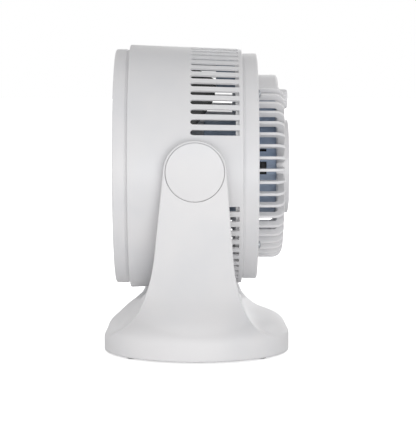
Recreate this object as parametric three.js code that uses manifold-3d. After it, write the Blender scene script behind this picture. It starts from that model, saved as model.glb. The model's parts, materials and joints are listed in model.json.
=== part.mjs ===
// Desk air circulator: a drum-shaped fan head that tilts between the two arms of a U-shaped stand.
// Millimetres, +Z up. The fan blows towards -Y, and its tilt axis runs along X.
// The origin is on the table, under the middle of the base.

import * as THREE from 'three';
import { mergeVertices } from 'three/addons/utils/BufferGeometryUtils.js';
import Module from 'manifold-3d';

const wasm = await Module();
wasm.setup();

// ---- driving dimensions ----
const gap = 0.3; // clearance between pieces that touch
const wall = 2.6; // usual moulding thickness
const lap = 0.01; // stacked solids share this much, so that they join
const beyond = 120; // cutters run this far, past everything they cut

const axisZ = 204.5; // fan axis and tilt axis above the table
const pivotY = -1.5; // tilt axis, measured along the fan axis

// The head. Places called front, back and so on are measured along the fan axis.
const ring = { radius: 128, front: -87.6, back: -62, corner: 4, lip: 120 };
const grille = {
  radius: 124.8, front: -84.5, depth: 5, hub: 31, middle: 76,
  ribs: 60, ribWidth: 2.2, lean: 14, rim: 7, band: 3,
};
const frontHub = {
  proud: 2.2, slope: 6, slopeEnd: 0.5, edge: 1.9, skirt: 9, insideEdge: 4.5, insideMiddle: 3.2,
};
const duct = { inner: 116, outer: 118.4, front: -79, back: -12, flangeFront: -46.5, flangeBack: -44 };
const drum = { frontRadius: 132.9, rearRadius: 128.1, front: -71.8, back: 49, edge: 2 };
const slot = { width: 5.8, front: -6.3, back: 44.8, pitch: 36 / 7, blank: 18, cut: 12, cutRadius: 129 };
const rearRing = { radius: 123.4, front: 49 + gap, back: 65.6, spigot: 41, opening: 101.6, edge: 1.5 };
const basket = {
  radius: 100.2, root: 63, back: 93.7, corner: 11, bend: 0.29, depth: 8,
  fins: 48, finWidth: 3, flange: 108, flangeDepth: 2.5, hubBand: 3.6,
};
const pod = { halfAngle: 30, radius: 100.2, front: 66.4, back: 88.3, corner: 4, edge: 1.2, middle: 70 };
const switchBody = { size: [24, 14, 22], middle: 76, neck: 5, neckBack: 83.8, bore: 2.3, boreFront: 79 };
const spindle = { radius: 2, front: 79.3, back: 96, hole: 3.4 };
const knob = { radius: 11.5, back: 99.4, seat: 73.5, lift: 0.4, skirt: 2, taper: 1, edge: 1.2 };
const cap = { radius: 51.3, front: 86.3, back: 100, edge: 2 };
const inlet = {
  height: -34, hole: 6.3, bore: 3.5, neck: 6, depth: 7, flange: 8, flangeEdge: 7.2, proud: 1.5,
};
const housing = {
  radius: 51, front: 8, back: 86, edge: 3, bore: 8,
  vents: 16, ventWidth: 14, ventFront: 67.7, ventBack: 75.2, ventCut: 20,
};
const strut = {
  size: [12, 9, 64], middle: [0, 54, 82], // the bar itself
  padSize: [14, 9, 9.6], padMiddle: [0, 58.3, 114.2], // its end, under the rear ring
};
const motor = {
  radius: 42, front: 20, back: 68, sheet: 1.6, corner: 4, seat: 8.3,
  stackFront: 32, stackBack: 56, stackBore: 22.6, rotor: 22,
  windingInner: 25, windingOuter: 36, windingLength: 5.2,
  bearing: 8, bearingWidth: 6, bearingFit: 0.12,
  shaft: 4, shaftFront: -46, shaftBack: 72,
};
const capacitor = { size: [30, 12, 16], middle: [0, 77, -31] };
const impeller = {
  blades: 5, tip: 112, hub: 36, front: -50, back: -8,
  nose: 22, noseDepth: 6, shoulder: 3, shoulderDepth: 13, boss: 9, bossInside: 11, floor: 8,
  nut: 8.5, nutFront: -48, nutBack: -44,
};
const blade = {
  root: 2.5, rearInset: 6, rearRake: 0.62, tipTrim: 14, tipCurve: 6, frontInset: 6, frontRake: 3, camber: 9,
  sweep: 62, sweepTaper: 14, skew: 8, thickness: 3.2, thinning: 1.6, edgeThinning: 2.2, tilt: 0.6, rise: 0.8,
};

// The stand. Heights are above the table.
const base = { depth: 101.8, width: 105, bottom: 2, rim: 14 };
const trough = { radius: 144.5, halfWidth: 136.9 };
const arm = { topRadius: 32.5, outerTop: 149, hollowTop: 160 };
const armFront = [[-66, 36], [-50, 68], [-43.6, 115]]; // two handles of the sweep and its end, [y, z]
const armRear = [[38.1, 115], [43, 57], [62, 20]];
const cradleSide = [[105, -2], [105.6, 16], [107.5, 28], [111.5, 38], [118, 48], [125.3, 58], [131, 68],
  [134.6, 80], [137.2, 95], [140.6, 120], [144.6, 157], [arm.outerTop, axisZ], [150.6, 244.5]]; // [x, z]
const flareSide = [[101.8, -2], [101.8, 16], [102.5, 28], [109, 38], [119, 48], [138, 64], [164, 82],
  [210, 104], [210, 260]]; // [radius, z]
const domeSide = [[101.8, -2], [101.8, 16], [98.3, 28], [95, 35], [88, 42], [76, 49], [66, 55.5]];
const domeTop = { radius: 54, above: 0.5 }; // it ends a little above the lowest line of the trough
const plate = { bottom: 2.3, top: 4.6 };
const post = { radius: 5, bottom: 4.9, top: 80 };
const foot = { radius: 8, height: 2, x: 57, y: 67 };

// The tilt joint. Places are measured outwards along the tilt axis, insets inwards from the arm's outer face.
const pivotCap = { radius: 30.3, thickness: 2.2, recess: 0.6 };
const pivot = {
  flange: 22, flangeInner: 120, stub: 11, stubInner: 122, stubOuter: 134, play: 1,
  washer: 16, washerPlay: 0.2, shoulder: 5, shoulderInset: 4, thread: 4, threadInner: 118, threadInset: 10,
  head: 8.4, headInner: 6.7, headOuter: 3.2, counterbore: 9, counterboreInset: 7,
  nut: 8, nutInner: 117.5, holeInner: 100, holeOuter: 160,
};
const bossBlock = { front: -60, back: 40 }; // the drum's outside, cut out of the boss

// Screws: pan head, a plain shank and the holes that take them.
const ringScrew = { head: 4.2, height: 2.4, shank: 1.3, length: 9, hole: 1.8, pilot: 1.5, place: 113 };
const motorScrew = { head: 4, height: 2.4, shank: 1.6, length: 9, hole: 2, place: 30 };
const capScrew = {
  head: 4, height: 1.3, shank: 1.5, length: 8, hole: 1.8, sink: 4.6, sinkDepth: 1.4, proud: 0.2,
};
const baseScrew = { head: 3.6, height: 1.4, shank: 1.3, length: 10, hole: 2.1, pilot: 1.6, bottom: 0.6 };
const diagonals = [45, 135, 225, 315]; // degrees round the fan axis
const capScrewSides = [-38, 38];
const baseScrewPlaces = [[58, -42], [58, 42], [-58, -42], [-58, 42]];

// ---- materials ----
const white = { color: 0xe9eaec, roughness: 0.45, metalness: 0 };
const dark = { color: 0x1d1f23, roughness: 0.4, metalness: 0 };
const rubber = { color: 0x2b2c2e, roughness: 0.85, metalness: 0 };
const steel = { color: 0xb4b8bc, roughness: 0.35, metalness: 1 };
const copper = { color: 0xb4683a, roughness: 0.4, metalness: 1 };
const grey = { color: 0xb6bcc6, roughness: 0.5, metalness: 0 };

const radians = THREE.MathUtils.degToRad;
const fan = new THREE.Group();

// ---- solids ----

// A closed three.js geometry as a manifold solid, turned the right way out.
function solid(geometry) {
  const bare = geometry.clone();
  bare.deleteAttribute('normal');
  bare.deleteAttribute('uv');
  bare.clearGroups();
  const merged = mergeVertices(bare, 1e-4);
  const vertProperties = new Float32Array(merged.attributes.position.array);
  const triVerts = new Uint32Array(merged.index.array);
  if (volumeOf(vertProperties, triVerts) < 0) {
    for (let i = 0; i < triVerts.length; i += 3) {
      [triVerts[i + 1], triVerts[i + 2]] = [triVerts[i + 2], triVerts[i + 1]];
    }
  }
  const mesh = new wasm.Mesh({ numProp: 3, vertProperties, triVerts });
  mesh.merge();
  return new wasm.Manifold(mesh);
}

function volumeOf(points, triangles) {
  let sum = 0;
  const corner = [new THREE.Vector3(), new THREE.Vector3(), new THREE.Vector3()];
  for (let i = 0; i < triangles.length; i += 3) {
    corner.forEach((vector, k) => vector.fromArray(points, 3 * triangles[i + k]));
    sum += corner[0].dot(corner[1].clone().cross(corner[2])) / 6;
  }
  return sum;
}

function toGeometry(body) {
  const { vertProperties, triVerts } = body.getMesh();
  const geometry = new THREE.BufferGeometry();
  geometry.setAttribute('position', new THREE.BufferAttribute(new Float32Array(vertProperties), 3));
  geometry.setIndex(new THREE.BufferAttribute(new Uint32Array(triVerts), 1));
  geometry.computeVertexNormals();
  return geometry;
}

// A closed profile of [radius, y] points, spun round the Y axis.
function spun(profile, segments = 40) {
  const points = [...profile, profile[0]].map(([r, y]) => new THREE.Vector2(r, y));
  return solid(new THREE.LatheGeometry(points, segments));
}

// The same round a vertical axis, for [radius, z] points.
function spunUpright(profile, segments) {
  return spun(profile, segments).rotate([90, 0, 0]);
}

function flatRing(inner, outer, front, back, segments = 40) {
  return spun([[inner, front], [outer, front], [outer, back], [inner, back]], segments);
}

// A round bar along Y, from one y to another.
function barY(radius, from, to, segments = 24) {
  return spun([[0, from], [radius, from], [radius, to], [0, to]], segments);
}

// A round bar along X at the tilt axis, in the head's own frame.
function barX(radius, from, to, segments = 24) {
  return barY(radius, from, to, segments).rotate([0, 0, -90]).translate([0, pivotY, 0]);
}

function barZ(radius, from, to, segments) {
  return barY(radius, from, to, segments).rotate([90, 0, 0]);
}

function outline(points) {
  return new THREE.Shape(points.map(([a, b]) => new THREE.Vector2(a, b)));
}

function extruded(shape, depth, curveSegments) {
  return new THREE.ExtrudeGeometry(shape, { depth, bevelEnabled: false, curveSegments });
}

// A side view (y, z) carried along X, centred on x = 0.
function sideways(shape, width, curveSegments = 8) {
  const geometry = extruded(shape, width, curveSegments);
  geometry.translate(0, 0, -width / 2);
  const basis = new THREE.Matrix4().makeBasis(
    new THREE.Vector3(0, 1, 0), new THREE.Vector3(0, 0, 1), new THREE.Vector3(1, 0, 0));
  return solid(geometry.applyMatrix4(basis));
}

// A front view (x, z) carried along Y between two places.
function forwards(shape, from, to, curveSegments = 8) {
  const geometry = extruded(shape, to - from, curveSegments);
  const basis = new THREE.Matrix4().makeBasis(
    new THREE.Vector3(1, 0, 0), new THREE.Vector3(0, 0, 1), new THREE.Vector3(0, -1, 0));
  return solid(geometry.applyMatrix4(basis)).translate([0, to, 0]);
}

function boxSolid(size, centre) {
  return solid(new THREE.BoxGeometry(...size)).translate(centre);
}

// Copies of a body turned round the fan axis; 0 degrees is straight up.
function turned(body, angles) {
  return angles.map((angle) => body.rotate([0, angle, 0]));
}

function joined(bodies) {
  return wasm.Manifold.union(bodies);
}

function evenAngles(count, first = 0) {
  return Array.from({ length: count }, (_, k) => first + (360 * k) / count);
}

// ---- placing ----
function place(name, body, look, z = axisZ) {
  const mesh = new THREE.Mesh(toGeometry(body), new THREE.MeshStandardMaterial(look));
  mesh.name = name;
  mesh.position.z = z;
  fan.add(mesh);
}

// ---- front of the head ----
function frontRing() {
  const { radius, front, back, corner, lip } = ring;
  const arc = [0, 45, 90].map((a) => [
    radius - corner * (1 - Math.cos(radians(a))),
    front + corner * (1 - Math.sin(radians(a)))]);
  return spun([[radius, back], ...arc, [lip, front], [lip, front + wall],
    [radius - wall, front + wall], [radius - wall, back]]);
}

// One rib of the guard, a strip that leans as it goes out from one radius to another.
function guardRib(inner, outer, turn) {
  const half = grille.ribWidth / 2;
  const ends = [[inner, turn], [outer, turn + grille.lean]].map(([r, degrees]) => {
    const a = radians(degrees);
    const along = [r * Math.sin(a), r * Math.cos(a)];
    const across = [half * Math.cos(a), -half * Math.sin(a)];
    return [-1, 1].map((side) => [along[0] + side * across[0], along[1] + side * across[1]]);
  });
  const shape = outline([ends[0][0], ends[1][0], ends[1][1], ends[0][1]]);
  return forwards(shape, grille.front, grille.front + grille.depth);
}

function frontGrille() {
  const { radius, front, depth, hub, middle, ribs, lean, rim, band } = grille;
  const back = front + depth;
  const hubRing = hub + 2 * gap; // the cap sits inside it
  const inner = evenAngles(ribs / 2).map((a) => guardRib(hub + band / 2, middle, a));
  const outer = evenAngles(ribs).map((a) => guardRib(middle, radius - 5, a + lean));
  return joined([
    flatRing(radius - rim, radius, front, back),
    flatRing(middle - band / 2, middle + band / 2, front, back, 30),
    flatRing(hubRing, hubRing + band - 0.2, front, back, 30),
    ...inner, ...outer]);
}

function frontCap() {
  const { proud, slope, slopeEnd, edge, skirt, insideEdge, insideMiddle } = frontHub;
  const r = grille.hub;
  const front = grille.front - proud;
  return spun([[0, front], [r - slope, front + slopeEnd], [r, front + edge], [r, front + skirt],
    [r - wall, front + skirt], [r - wall, front + insideEdge], [0, front + insideMiddle]], 30);
}

function airDuct() {
  const { inner, outer, front, back, flangeFront, flangeBack } = duct;
  const flange = drumRadius(flangeBack) - wall - gap;
  return spun([[inner, front], [outer, front], [outer, flangeFront], [flange, flangeFront],
    [flange, flangeBack], [outer, flangeBack], [outer, back], [inner, back]], 40);
}

// ---- drum ----
function drumRadius(y) {
  const t = (y - drum.front) / (drum.back - drum.front);
  return drum.frontRadius + (drum.rearRadius - drum.frontRadius) * t;
}

// The slots leave a blank stretch on each side, where the arms are.
function slotAngles() {
  const perSide = Math.round((180 - 2 * slot.blank) / slot.pitch);
  const upper = Array.from({ length: perSide + 1 }, (_, k) => 90 + slot.blank + k * slot.pitch);
  return [...upper, ...upper.map((a) => a + 180)];
}

function slotCutter() {
  const length = slot.back - slot.front;
  return boxSolid([slot.width, length, slot.cut], [0, slot.front + length / 2, slot.cutRadius]);
}

function shroud() {
  const { frontRadius, rearRadius, front, back, edge } = drum;
  const mouth = ring.radius + gap;
  const tail = rearRing.radius + gap;
  const shell = spun([
    [mouth, front], [frontRadius - edge, front], [frontRadius, front + edge], [rearRadius, back],
    [tail, back], [tail, back - wall], [rearRadius - wall, back - wall],
    [frontRadius - wall, front + wall], [mouth, front + wall]]);
  const pivotHole = barX(pivot.stub + gap, -arm.outerTop, arm.outerTop);
  return shell.subtract(joined([...turned(slotCutter(), slotAngles()), pivotHole]));
}

// ---- rear of the head ----
function rearRingBody() {
  const { radius, front, back, spigot, opening, edge } = rearRing;
  const inside = radius - wall;
  const screwHole = barY(ringScrew.hole, front, beyond, 8).translate([0, 0, ringScrew.place]);
  return spun([[radius, front], [radius, back - edge], [radius - edge, back], [opening, back],
    [opening, back - wall], [inside, back - wall], [inside, spigot], [radius, spigot]])
    .subtract(joined(turned(screwHole, diagonals)));
}

// One fin: an L that runs back along the basket's side and in across its rear face.
function fin() {
  const { radius, root, back, corner, bend, depth, finWidth } = basket;
  const inner = cap.radius + 2;
  return sideways(outline([
    [root, radius], [back - corner, radius], [back - corner * bend, radius - corner * bend],
    [back, radius - corner], [back, inner], [back - depth, inner], [back - depth, radius - depth],
    [root, radius - depth]]), finWidth);
}

function rearGrille() {
  const { radius, back, depth, fins, flange, flangeDepth, hubBand } = basket;
  const { opening } = rearRing;
  const clear = pod.halfAngle + 1;
  const besidePod = pod.halfAngle + 360 / fins / 8;
  const seat = rearRing.back - wall - gap;
  const rim = spun([[radius - depth, seat - flangeDepth], [flange, seat - flangeDepth], [flange, seat],
    [opening - gap, seat], [opening - gap, rearRing.back], [radius - depth, rearRing.back]], 40);
  const hub = flatRing(cap.radius + gap, cap.radius + hubBand, back - depth, back, 40);
  const angles = evenAngles(fins).filter((a) => a > clear && a < 360 - clear);
  return joined([rim, hub, ...turned(fin(), [...angles, besidePod, -besidePod])]);
}

// The switch housing from behind, a sector with its sides set in by the inset.
function podShape(inset) {
  const inner = cap.radius + 4 + inset;
  const a = radians(90 - pod.halfAngle) + Math.asin(inset / pod.middle);
  const shape = new THREE.Shape();
  shape.absarc(0, 0, pod.radius - inset, a, Math.PI - a, false);
  shape.absarc(0, 0, inner, Math.PI - a, a, true);
  return shape;
}

function controlPod() {
  const { front, back, corner, edge } = pod;
  const body = forwards(podShape(0), front, back - corner);
  const step = forwards(podShape(edge), back - corner - lap, back - edge);
  const face = forwards(podShape(corner), back - edge - lap, back);
  const hollow = forwards(podShape(wall), front - wall, back - corner);
  const hole = barY(spindle.hole, 0, beyond, 16).translate([0, 0, knob.seat]);
  return joined([body, step, face]).subtract(joined([hollow, hole]));
}

function rotarySwitch() {
  const { size, middle, neck, neckBack, bore, boreFront } = switchBody;
  const body = boxSolid(size, [0, middle, knob.seat]);
  const collar = barY(neck, middle, neckBack, 16).translate([0, 0, knob.seat]);
  const hole = barY(bore, boreFront, beyond, 12).translate([0, 0, knob.seat]);
  return body.add(collar).subtract(hole);
}

function switchSpindle() {
  return barY(spindle.radius, spindle.front, spindle.back, 16).translate([0, 0, knob.seat]);
}

function speedKnob() {
  const { radius, back, seat, lift, skirt, taper, edge } = knob;
  const front = pod.back + lift;
  const bore = spindle.radius + gap;
  const floor = spindle.back + gap;
  return spun([[bore, front], [radius, front], [radius, front + skirt], [radius - taper, back - edge],
    [radius - taper - edge, back], [0, back], [0, floor], [bore, floor]], 24).translate([0, 0, seat]);
}

function rearCap() {
  const { radius, front, back, edge } = cap;
  const cup = spun([[radius, front], [radius, back - edge], [radius - edge, back], [0, back],
    [0, back - wall], [radius - wall, back - wall], [radius - wall, front]], 40);
  const leadHole = barY(inlet.hole, front, beyond, 16).translate([0, 0, inlet.height]);
  const screwHole = barY(capScrew.hole, front, beyond, 8)
    .add(barY(capScrew.sink, back - capScrew.sinkDepth, beyond, 12));
  return cup.subtract(joined([leadHole, ...capScrewSides.map((x) => screwHole.translate([x, 0, 0]))]));
}

function cordGrommet() {
  const { height, bore, neck, depth, flange, flangeEdge, proud } = inlet;
  const face = cap.back;
  return spun([[bore, face - depth], [neck, face - depth], [neck, face + gap], [flange, face + gap],
    [flangeEdge, face + proud], [bore, face + proud + 0.2]], 16).translate([0, 0, height]);
}

// ---- motor ----
function motorHousing() {
  const { radius, front, back, edge, bore, vents, ventWidth, ventFront, ventBack, ventCut } = housing;
  const inside = radius - wall;
  const cup = spun([[bore, front], [radius - edge, front], [radius, front + edge], [radius, back],
    [inside, back], [inside, front + wall], [bore, front + wall]], 32);
  const vent = boxSolid([ventWidth, ventBack - ventFront, ventCut], [0, (ventFront + ventBack) / 2, radius]);
  const spoke = boxSolid(strut.size, strut.middle).add(boxSolid(strut.padSize, strut.padMiddle));
  const pilot = barY(ringScrew.pilot, front, beyond, 8).translate([0, 0, ringScrew.place]);
  const screwHole = barY(motorScrew.hole, 0, motor.front, 8).translate([0, 0, motorScrew.place]);
  const room = barY(inside, front + wall, back + 1, 32);
  const holes = [...turned(pilot, diagonals), ...turned(screwHole, diagonals)];
  return cup.add(joined(turned(spoke, diagonals)))
    .subtract(joined([...turned(vent, evenAngles(vents, 90)), ...holes, room]));
}

// A drawn cup. Its flat end carries the bearing, and its mouth closes on the lamination stack.
function motorBell(end, mouth) {
  const { radius, corner, sheet, seat } = motor;
  const way = Math.sign(mouth - end);
  return spun([[seat, end], [radius - corner, end], [radius, end + corner * way], [radius, mouth],
    [radius - sheet, mouth], [radius - sheet, end + (corner + 1) * way],
    [radius - corner - 1, end + sheet * way], [seat, end + sheet * way]], 24);
}

// A fine box bent into a swept blade: x runs across it, z along it from root to tip, y through it.
function bladeSolid() {
  const { hub, tip } = impeller;
  const geometry = new THREE.BoxGeometry(1, 1, 1, 4, 1, 3);
  const places = geometry.attributes.position;
  const point = new THREE.Vector3();
  const root = hub - blade.root;
  for (let i = 0; i < places.count; i += 1) {
    point.fromBufferAttribute(places, i);
    const along = point.z + 0.5;
    const across = point.x;
    const r = root + (tip - root) * along;
    const trim = blade.tipTrim * along ** blade.tipCurve;
    const rear = impeller.back - blade.rearInset + blade.rearRake * (r - hub) - trim;
    const front = impeller.front + blade.frontInset + blade.frontRake * along;
    const bow = blade.camber * (across * across - 0.25) * along;
    const y = (front + rear) / 2 + (rear - front) * across + bow;
    const angle = across * radians(blade.sweep - blade.sweepTaper * along) + radians(blade.skew) * along;
    const middle = blade.thickness - blade.thinning * along;
    const side = point.y * middle * (1 - blade.edgeThinning * across * across);
    places.setXYZ(i,
      r * Math.sin(angle) + side * Math.cos(angle) * blade.tilt,
      y + side * blade.rise,
      r * Math.cos(angle) - side * Math.sin(angle) * blade.tilt);
  }
  return solid(geometry);
}

function impellerBody() {
  const { hub, front, back, blades, boss, bossInside, floor } = impeller;
  const { nose, noseDepth, shoulder, shoulderDepth } = impeller;
  const bore = motor.shaft + gap;
  const bossFront = front + noseDepth;
  const wheelHub = spun([[bore, bossFront], [boss, bossFront], [boss, front + 1], [nose, front + 1],
    [hub - shoulder, bossFront], [hub, front + shoulderDepth], [hub, back], [hub - wall, back],
    [hub - wall, front + shoulderDepth + 1], [hub - floor, front + floor], [bossInside, front + floor],
    [bossInside, back - floor], [bore, back - floor]], 24);
  return wheelHub.add(joined(turned(bladeSolid(), evenAngles(blades))));
}

function impellerNut() {
  const { nut, nutFront, nutBack } = impeller;
  return barY(nut, nutFront, nutBack - gap, 6).subtract(barY(motor.shaft + gap, nutFront - 10, beyond, 20));
}

// ---- fasteners ----
// Pan-head screw along Y: the head's face is at y = 0 and the shank points towards -Y.
function panScrew({ head, height, shank, length }) {
  return spun([[0, -height - length], [shank, -height - length], [shank, -height],
    [head, -height], [head * 0.7, 0], [0, 0]], 8);
}

// ---- stand ----
// Side view of the arms and the flare below them.
function armOutline(inset) {
  const r = arm.topRadius - inset;
  const edge = base.depth - inset;
  const rimTop = base.rim + 2 - inset;
  const below = base.bottom - 4;
  const [frontLow, frontHigh, frontEnd] = armFront;
  const [rearEnd, rearHigh, rearLow] = armRear;
  const shape = new THREE.Shape();
  shape.moveTo(-edge, below);
  shape.lineTo(-edge, rimTop);
  shape.bezierCurveTo(frontLow[0] + inset, frontLow[1] - inset, frontHigh[0] + inset, frontHigh[1],
    frontEnd[0] + inset, frontEnd[1]);
  shape.lineTo(pivotY - r, axisZ);
  shape.absarc(pivotY, axisZ, r, Math.PI, 0, true);
  shape.lineTo(rearEnd[0] - inset, rearEnd[1]);
  shape.bezierCurveTo(rearHigh[0] - inset, rearHigh[1], rearLow[0] - inset, rearLow[1] - inset, edge, rimTop);
  shape.lineTo(edge, below);
  return shape;
}

// Front view of the arms' outer faces, on the +X side and mirrored.
function cradleOutline(inset) {
  const right = cradleSide.map(([x, z]) => [x - inset, z]);
  return outline([...right, ...right.map(([x, z]) => [-x, z]).reverse()]);
}

// Round flare that the base's plan follows, a little wider than it is deep.
function flare(inset, segments) {
  const side = flareSide.map(([r, z]) => [r - inset, z]);
  return spunUpright([[0, flareSide[0][1]], ...side, [0, side.at(-1)[1]]], segments)
    .scale([base.width / base.depth, 1, 1]);
}

// The low dome between the arms.
function dome(inset, segments) {
  const top = axisZ - trough.radius + domeTop.above;
  const drop = inset * 0.6;
  const side = [...domeSide, [domeTop.radius, top]].map(([r, z]) => [r - inset, z - drop]);
  return spunUpright([[0, domeSide[0][1] - drop], ...side, [0, top - drop]], segments);
}

// The round hollow that the head lies in, open towards the top.
function troughCutter(grow) {
  const r = trough.radius - grow;
  const x = trough.halfWidth - grow;
  const start = Math.asin(x / r);
  const above = axisZ + r;
  const shape = new THREE.Shape();
  shape.moveTo(x, above);
  shape.lineTo(-x, above);
  shape.lineTo(-x, axisZ - r * Math.cos(start));
  shape.absarc(0, axisZ, r, -Math.PI / 2 - start, -Math.PI / 2 + start, false);
  return forwards(shape, -beyond, beyond, 20);
}

// Everything inside the stand's outer faces between two heights, before the trough is cut.
function standBody(inset, bottom, top, arcSegments, roundSegments) {
  return sideways(armOutline(inset), 320, arcSegments)
    .intersect(forwards(cradleOutline(inset), -beyond, beyond))
    .intersect(flare(inset, roundSegments))
    .add(dome(inset, roundSegments))
    .intersect(boxSolid([400, 300, top - bottom], [0, 0, (top + bottom) / 2]));
}

function atScrews(body) {
  return joined(baseScrewPlaces.map(([x, y]) => body.translate([x, y, 0])));
}

function standShell() {
  const posts = atScrews(barZ(post.radius, post.bottom, post.top, 10));
  const pilots = atScrews(barZ(baseScrew.pilot, -10, 20, 10));
  const hollow = standBody(wall, -10, arm.hollowTop, 5, 24).subtract(troughCutter(-wall)).subtract(posts);
  return standBody(0, base.bottom, 400, 6, 32)
    .subtract(troughCutter(0))
    .subtract(hollow)
    .subtract(pilots)
    .subtract(joined([pivotSeat(1), pivotSeat(-1)]));
}

// A piece made for the +X side, or its mirror image.
function onSide(body, side) {
  return side > 0 ? body : body.mirror([1, 0, 0]);
}

// Pocket for the cap, counterbore for the bolt's head and hole for its shank.
function pivotSeat(side) {
  const face = arm.outerTop;
  const outside = face + 20;
  const seat = joined([
    barX(pivotCap.radius + gap, face - pivotCap.thickness - pivotCap.recess, outside, 32),
    barX(pivot.counterbore, face - pivot.counterboreInset, outside, 24),
    barX(pivot.shoulder + gap, pivot.holeInner, outside, 20)]);
  return onSide(seat, side).translate([0, 0, axisZ]);
}

function basePlate() {
  const r = base.depth - wall - gap;
  return spunUpright([[0, plate.bottom], [r, plate.bottom], [r, plate.top], [0, plate.top]], 24)
    .scale([base.width / base.depth, 1, 1])
    .subtract(atScrews(barZ(baseScrew.hole, -10, 20, 12)));
}

// ---- tilt joint ----
function pivotBoss() {
  const { front, back } = bossBlock;
  const flange = barX(pivot.flange, pivot.flangeInner, trough.halfWidth - pivot.play, 32);
  const drumBlock = spun([[0, front], [drumRadius(front) + gap, front], [drumRadius(back) + gap, back],
    [0, back]], 48);
  return flange.subtract(drumBlock)
    .add(barX(pivot.stub, pivot.stubInner, pivot.stubOuter, 24))
    .subtract(barX(pivot.thread + gap, pivot.holeInner, pivot.holeOuter, 20));
}

function pivotWasher() {
  const { washer, washerPlay, play, shoulder, holeInner, holeOuter } = pivot;
  return barX(washer, trough.halfWidth - play + washerPlay, trough.halfWidth - washerPlay, 24)
    .subtract(barX(shoulder + gap, holeInner, holeOuter, 16));
}

function pivotBolt() {
  const face = arm.outerTop;
  return barX(pivot.shoulder, trough.halfWidth + gap, face - pivot.shoulderInset, 20)
    .add(barX(pivot.head, face - pivot.headInner, face - pivot.headOuter, 20))
    .add(barX(pivot.thread, pivot.threadInner, face - pivot.threadInset, 20));
}

function pivotNut() {
  return barX(pivot.nut, pivot.nutInner, pivot.stubInner - gap, 6)
    .subtract(barX(pivot.thread + gap, pivot.holeInner, pivot.holeOuter, 16));
}

function pivotCover() {
  return barX(pivotCap.radius, arm.outerTop - pivotCap.thickness - gap, arm.outerTop, 32);
}

// ---- assembly ----
place('front_ring', frontRing(), white);
place('front_grille', frontGrille(), white);
place('front_cap', frontCap(), white);
place('air_duct', airDuct(), white);
place('shroud', shroud(), white);
place('rear_ring', rearRingBody(), white);
place('rear_grille', rearGrille(), white);
place('control_pod', controlPod(), white);
place('rotary_switch', rotarySwitch(), dark);
place('switch_spindle', switchSpindle(), steel);
place('speed_knob', speedKnob(), white);
place('rear_cap', rearCap(), white);
place('cord_grommet', cordGrommet(), rubber);

const { stackFront, stackBack, windingInner, windingOuter, windingLength, bearingWidth } = motor;
const bearingBore = motor.shaft + motor.bearingFit;
place('motor_housing', motorHousing(), grey);
place('motor_bell_front', motorBell(motor.front, stackFront - gap), steel);
place('motor_bell_rear', motorBell(motor.back, stackBack + gap), steel);
place('stator_core', flatRing(motor.stackBore, motor.radius - 2, stackFront, stackBack, 24), steel);
place('winding_front',
  flatRing(windingInner, windingOuter, stackFront - gap - windingLength, stackFront - gap, 24), copper);
place('winding_rear',
  flatRing(windingInner, windingOuter, stackBack + gap, stackBack + gap + windingLength, 24), copper);
place('bearing_front',
  flatRing(bearingBore, motor.bearing, motor.front, motor.front + bearingWidth, 20), steel);
place('bearing_rear',
  flatRing(bearingBore, motor.bearing, motor.back - bearingWidth, motor.back, 20), steel);
place('run_capacitor', boxSolid(capacitor.size, capacitor.middle), dark);
place('motor_shaft', barY(motor.shaft, motor.shaftFront, motor.shaftBack, 24), steel);
place('rotor_core', flatRing(motor.shaft + gap, motor.rotor, stackFront, stackBack, 20), steel);
place('impeller', impellerBody(), dark);
place('impeller_nut', impellerNut(), steel);

const ringScrewFace = rearRing.back + ringScrew.height + gap;
const motorScrewFace = housing.front - motorScrew.height - gap;
diagonals.forEach((angle, k) => {
  const shortScrew = panScrew(ringScrew).translate([0, ringScrewFace, ringScrew.place]);
  const longScrew = panScrew(motorScrew).rotate([180, 0, 0]).translate([0, motorScrewFace, motorScrew.place]);
  place(`ring_screw_${k + 1}`, shortScrew.rotate([0, angle, 0]), steel);
  place(`motor_screw_${k + 1}`, longScrew.rotate([0, angle, 0]), steel);
});
capScrewSides.forEach((x, k) => {
  place(`cap_screw_${k + 1}`, panScrew(capScrew).translate([x, cap.back + capScrew.proud, 0]), steel);
});

[['right', 1], ['left', -1]].forEach(([name, side]) => {
  place(`pivot_boss_${name}`, onSide(pivotBoss(), side), white);
  place(`pivot_washer_${name}`, onSide(pivotWasher(), side), rubber);
  place(`pivot_bolt_${name}`, onSide(pivotBolt(), side), steel);
  place(`pivot_nut_${name}`, onSide(pivotNut(), side), steel);
  place(`pivot_cap_${name}`, onSide(pivotCover(), side), white);
});

place('stand_shell', standShell(), white, 0);
place('base_plate', basePlate(), white, 0);
baseScrewPlaces.forEach(([x, y], k) => {
  const screw = panScrew(baseScrew).rotate([-90, 0, 0]).translate([x, y, baseScrew.bottom]);
  const corner = [Math.sign(x) * foot.x, Math.sign(y) * foot.y, 0];
  const pad = barZ(foot.radius, 0, foot.height, 20).translate(corner);
  place(`base_screw_${k + 1}`, screw, steel, 0);
  place(`foot_${k + 1}`, pad, rubber, 0);
});

export default fan;
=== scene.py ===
# Desk air circulator: a drum-shaped fan head that tilts between the two arms of a moulded stand.
# The lengths in the piece dictionaries are millimetres, and each mesh is brought to metres when it is placed.
# The fan blows towards -Y, its tilt axis runs along X, and the table is at z = 0.

import json
import math

import bmesh
import bpy
import numpy as np
from mathutils import Matrix, Vector


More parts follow.
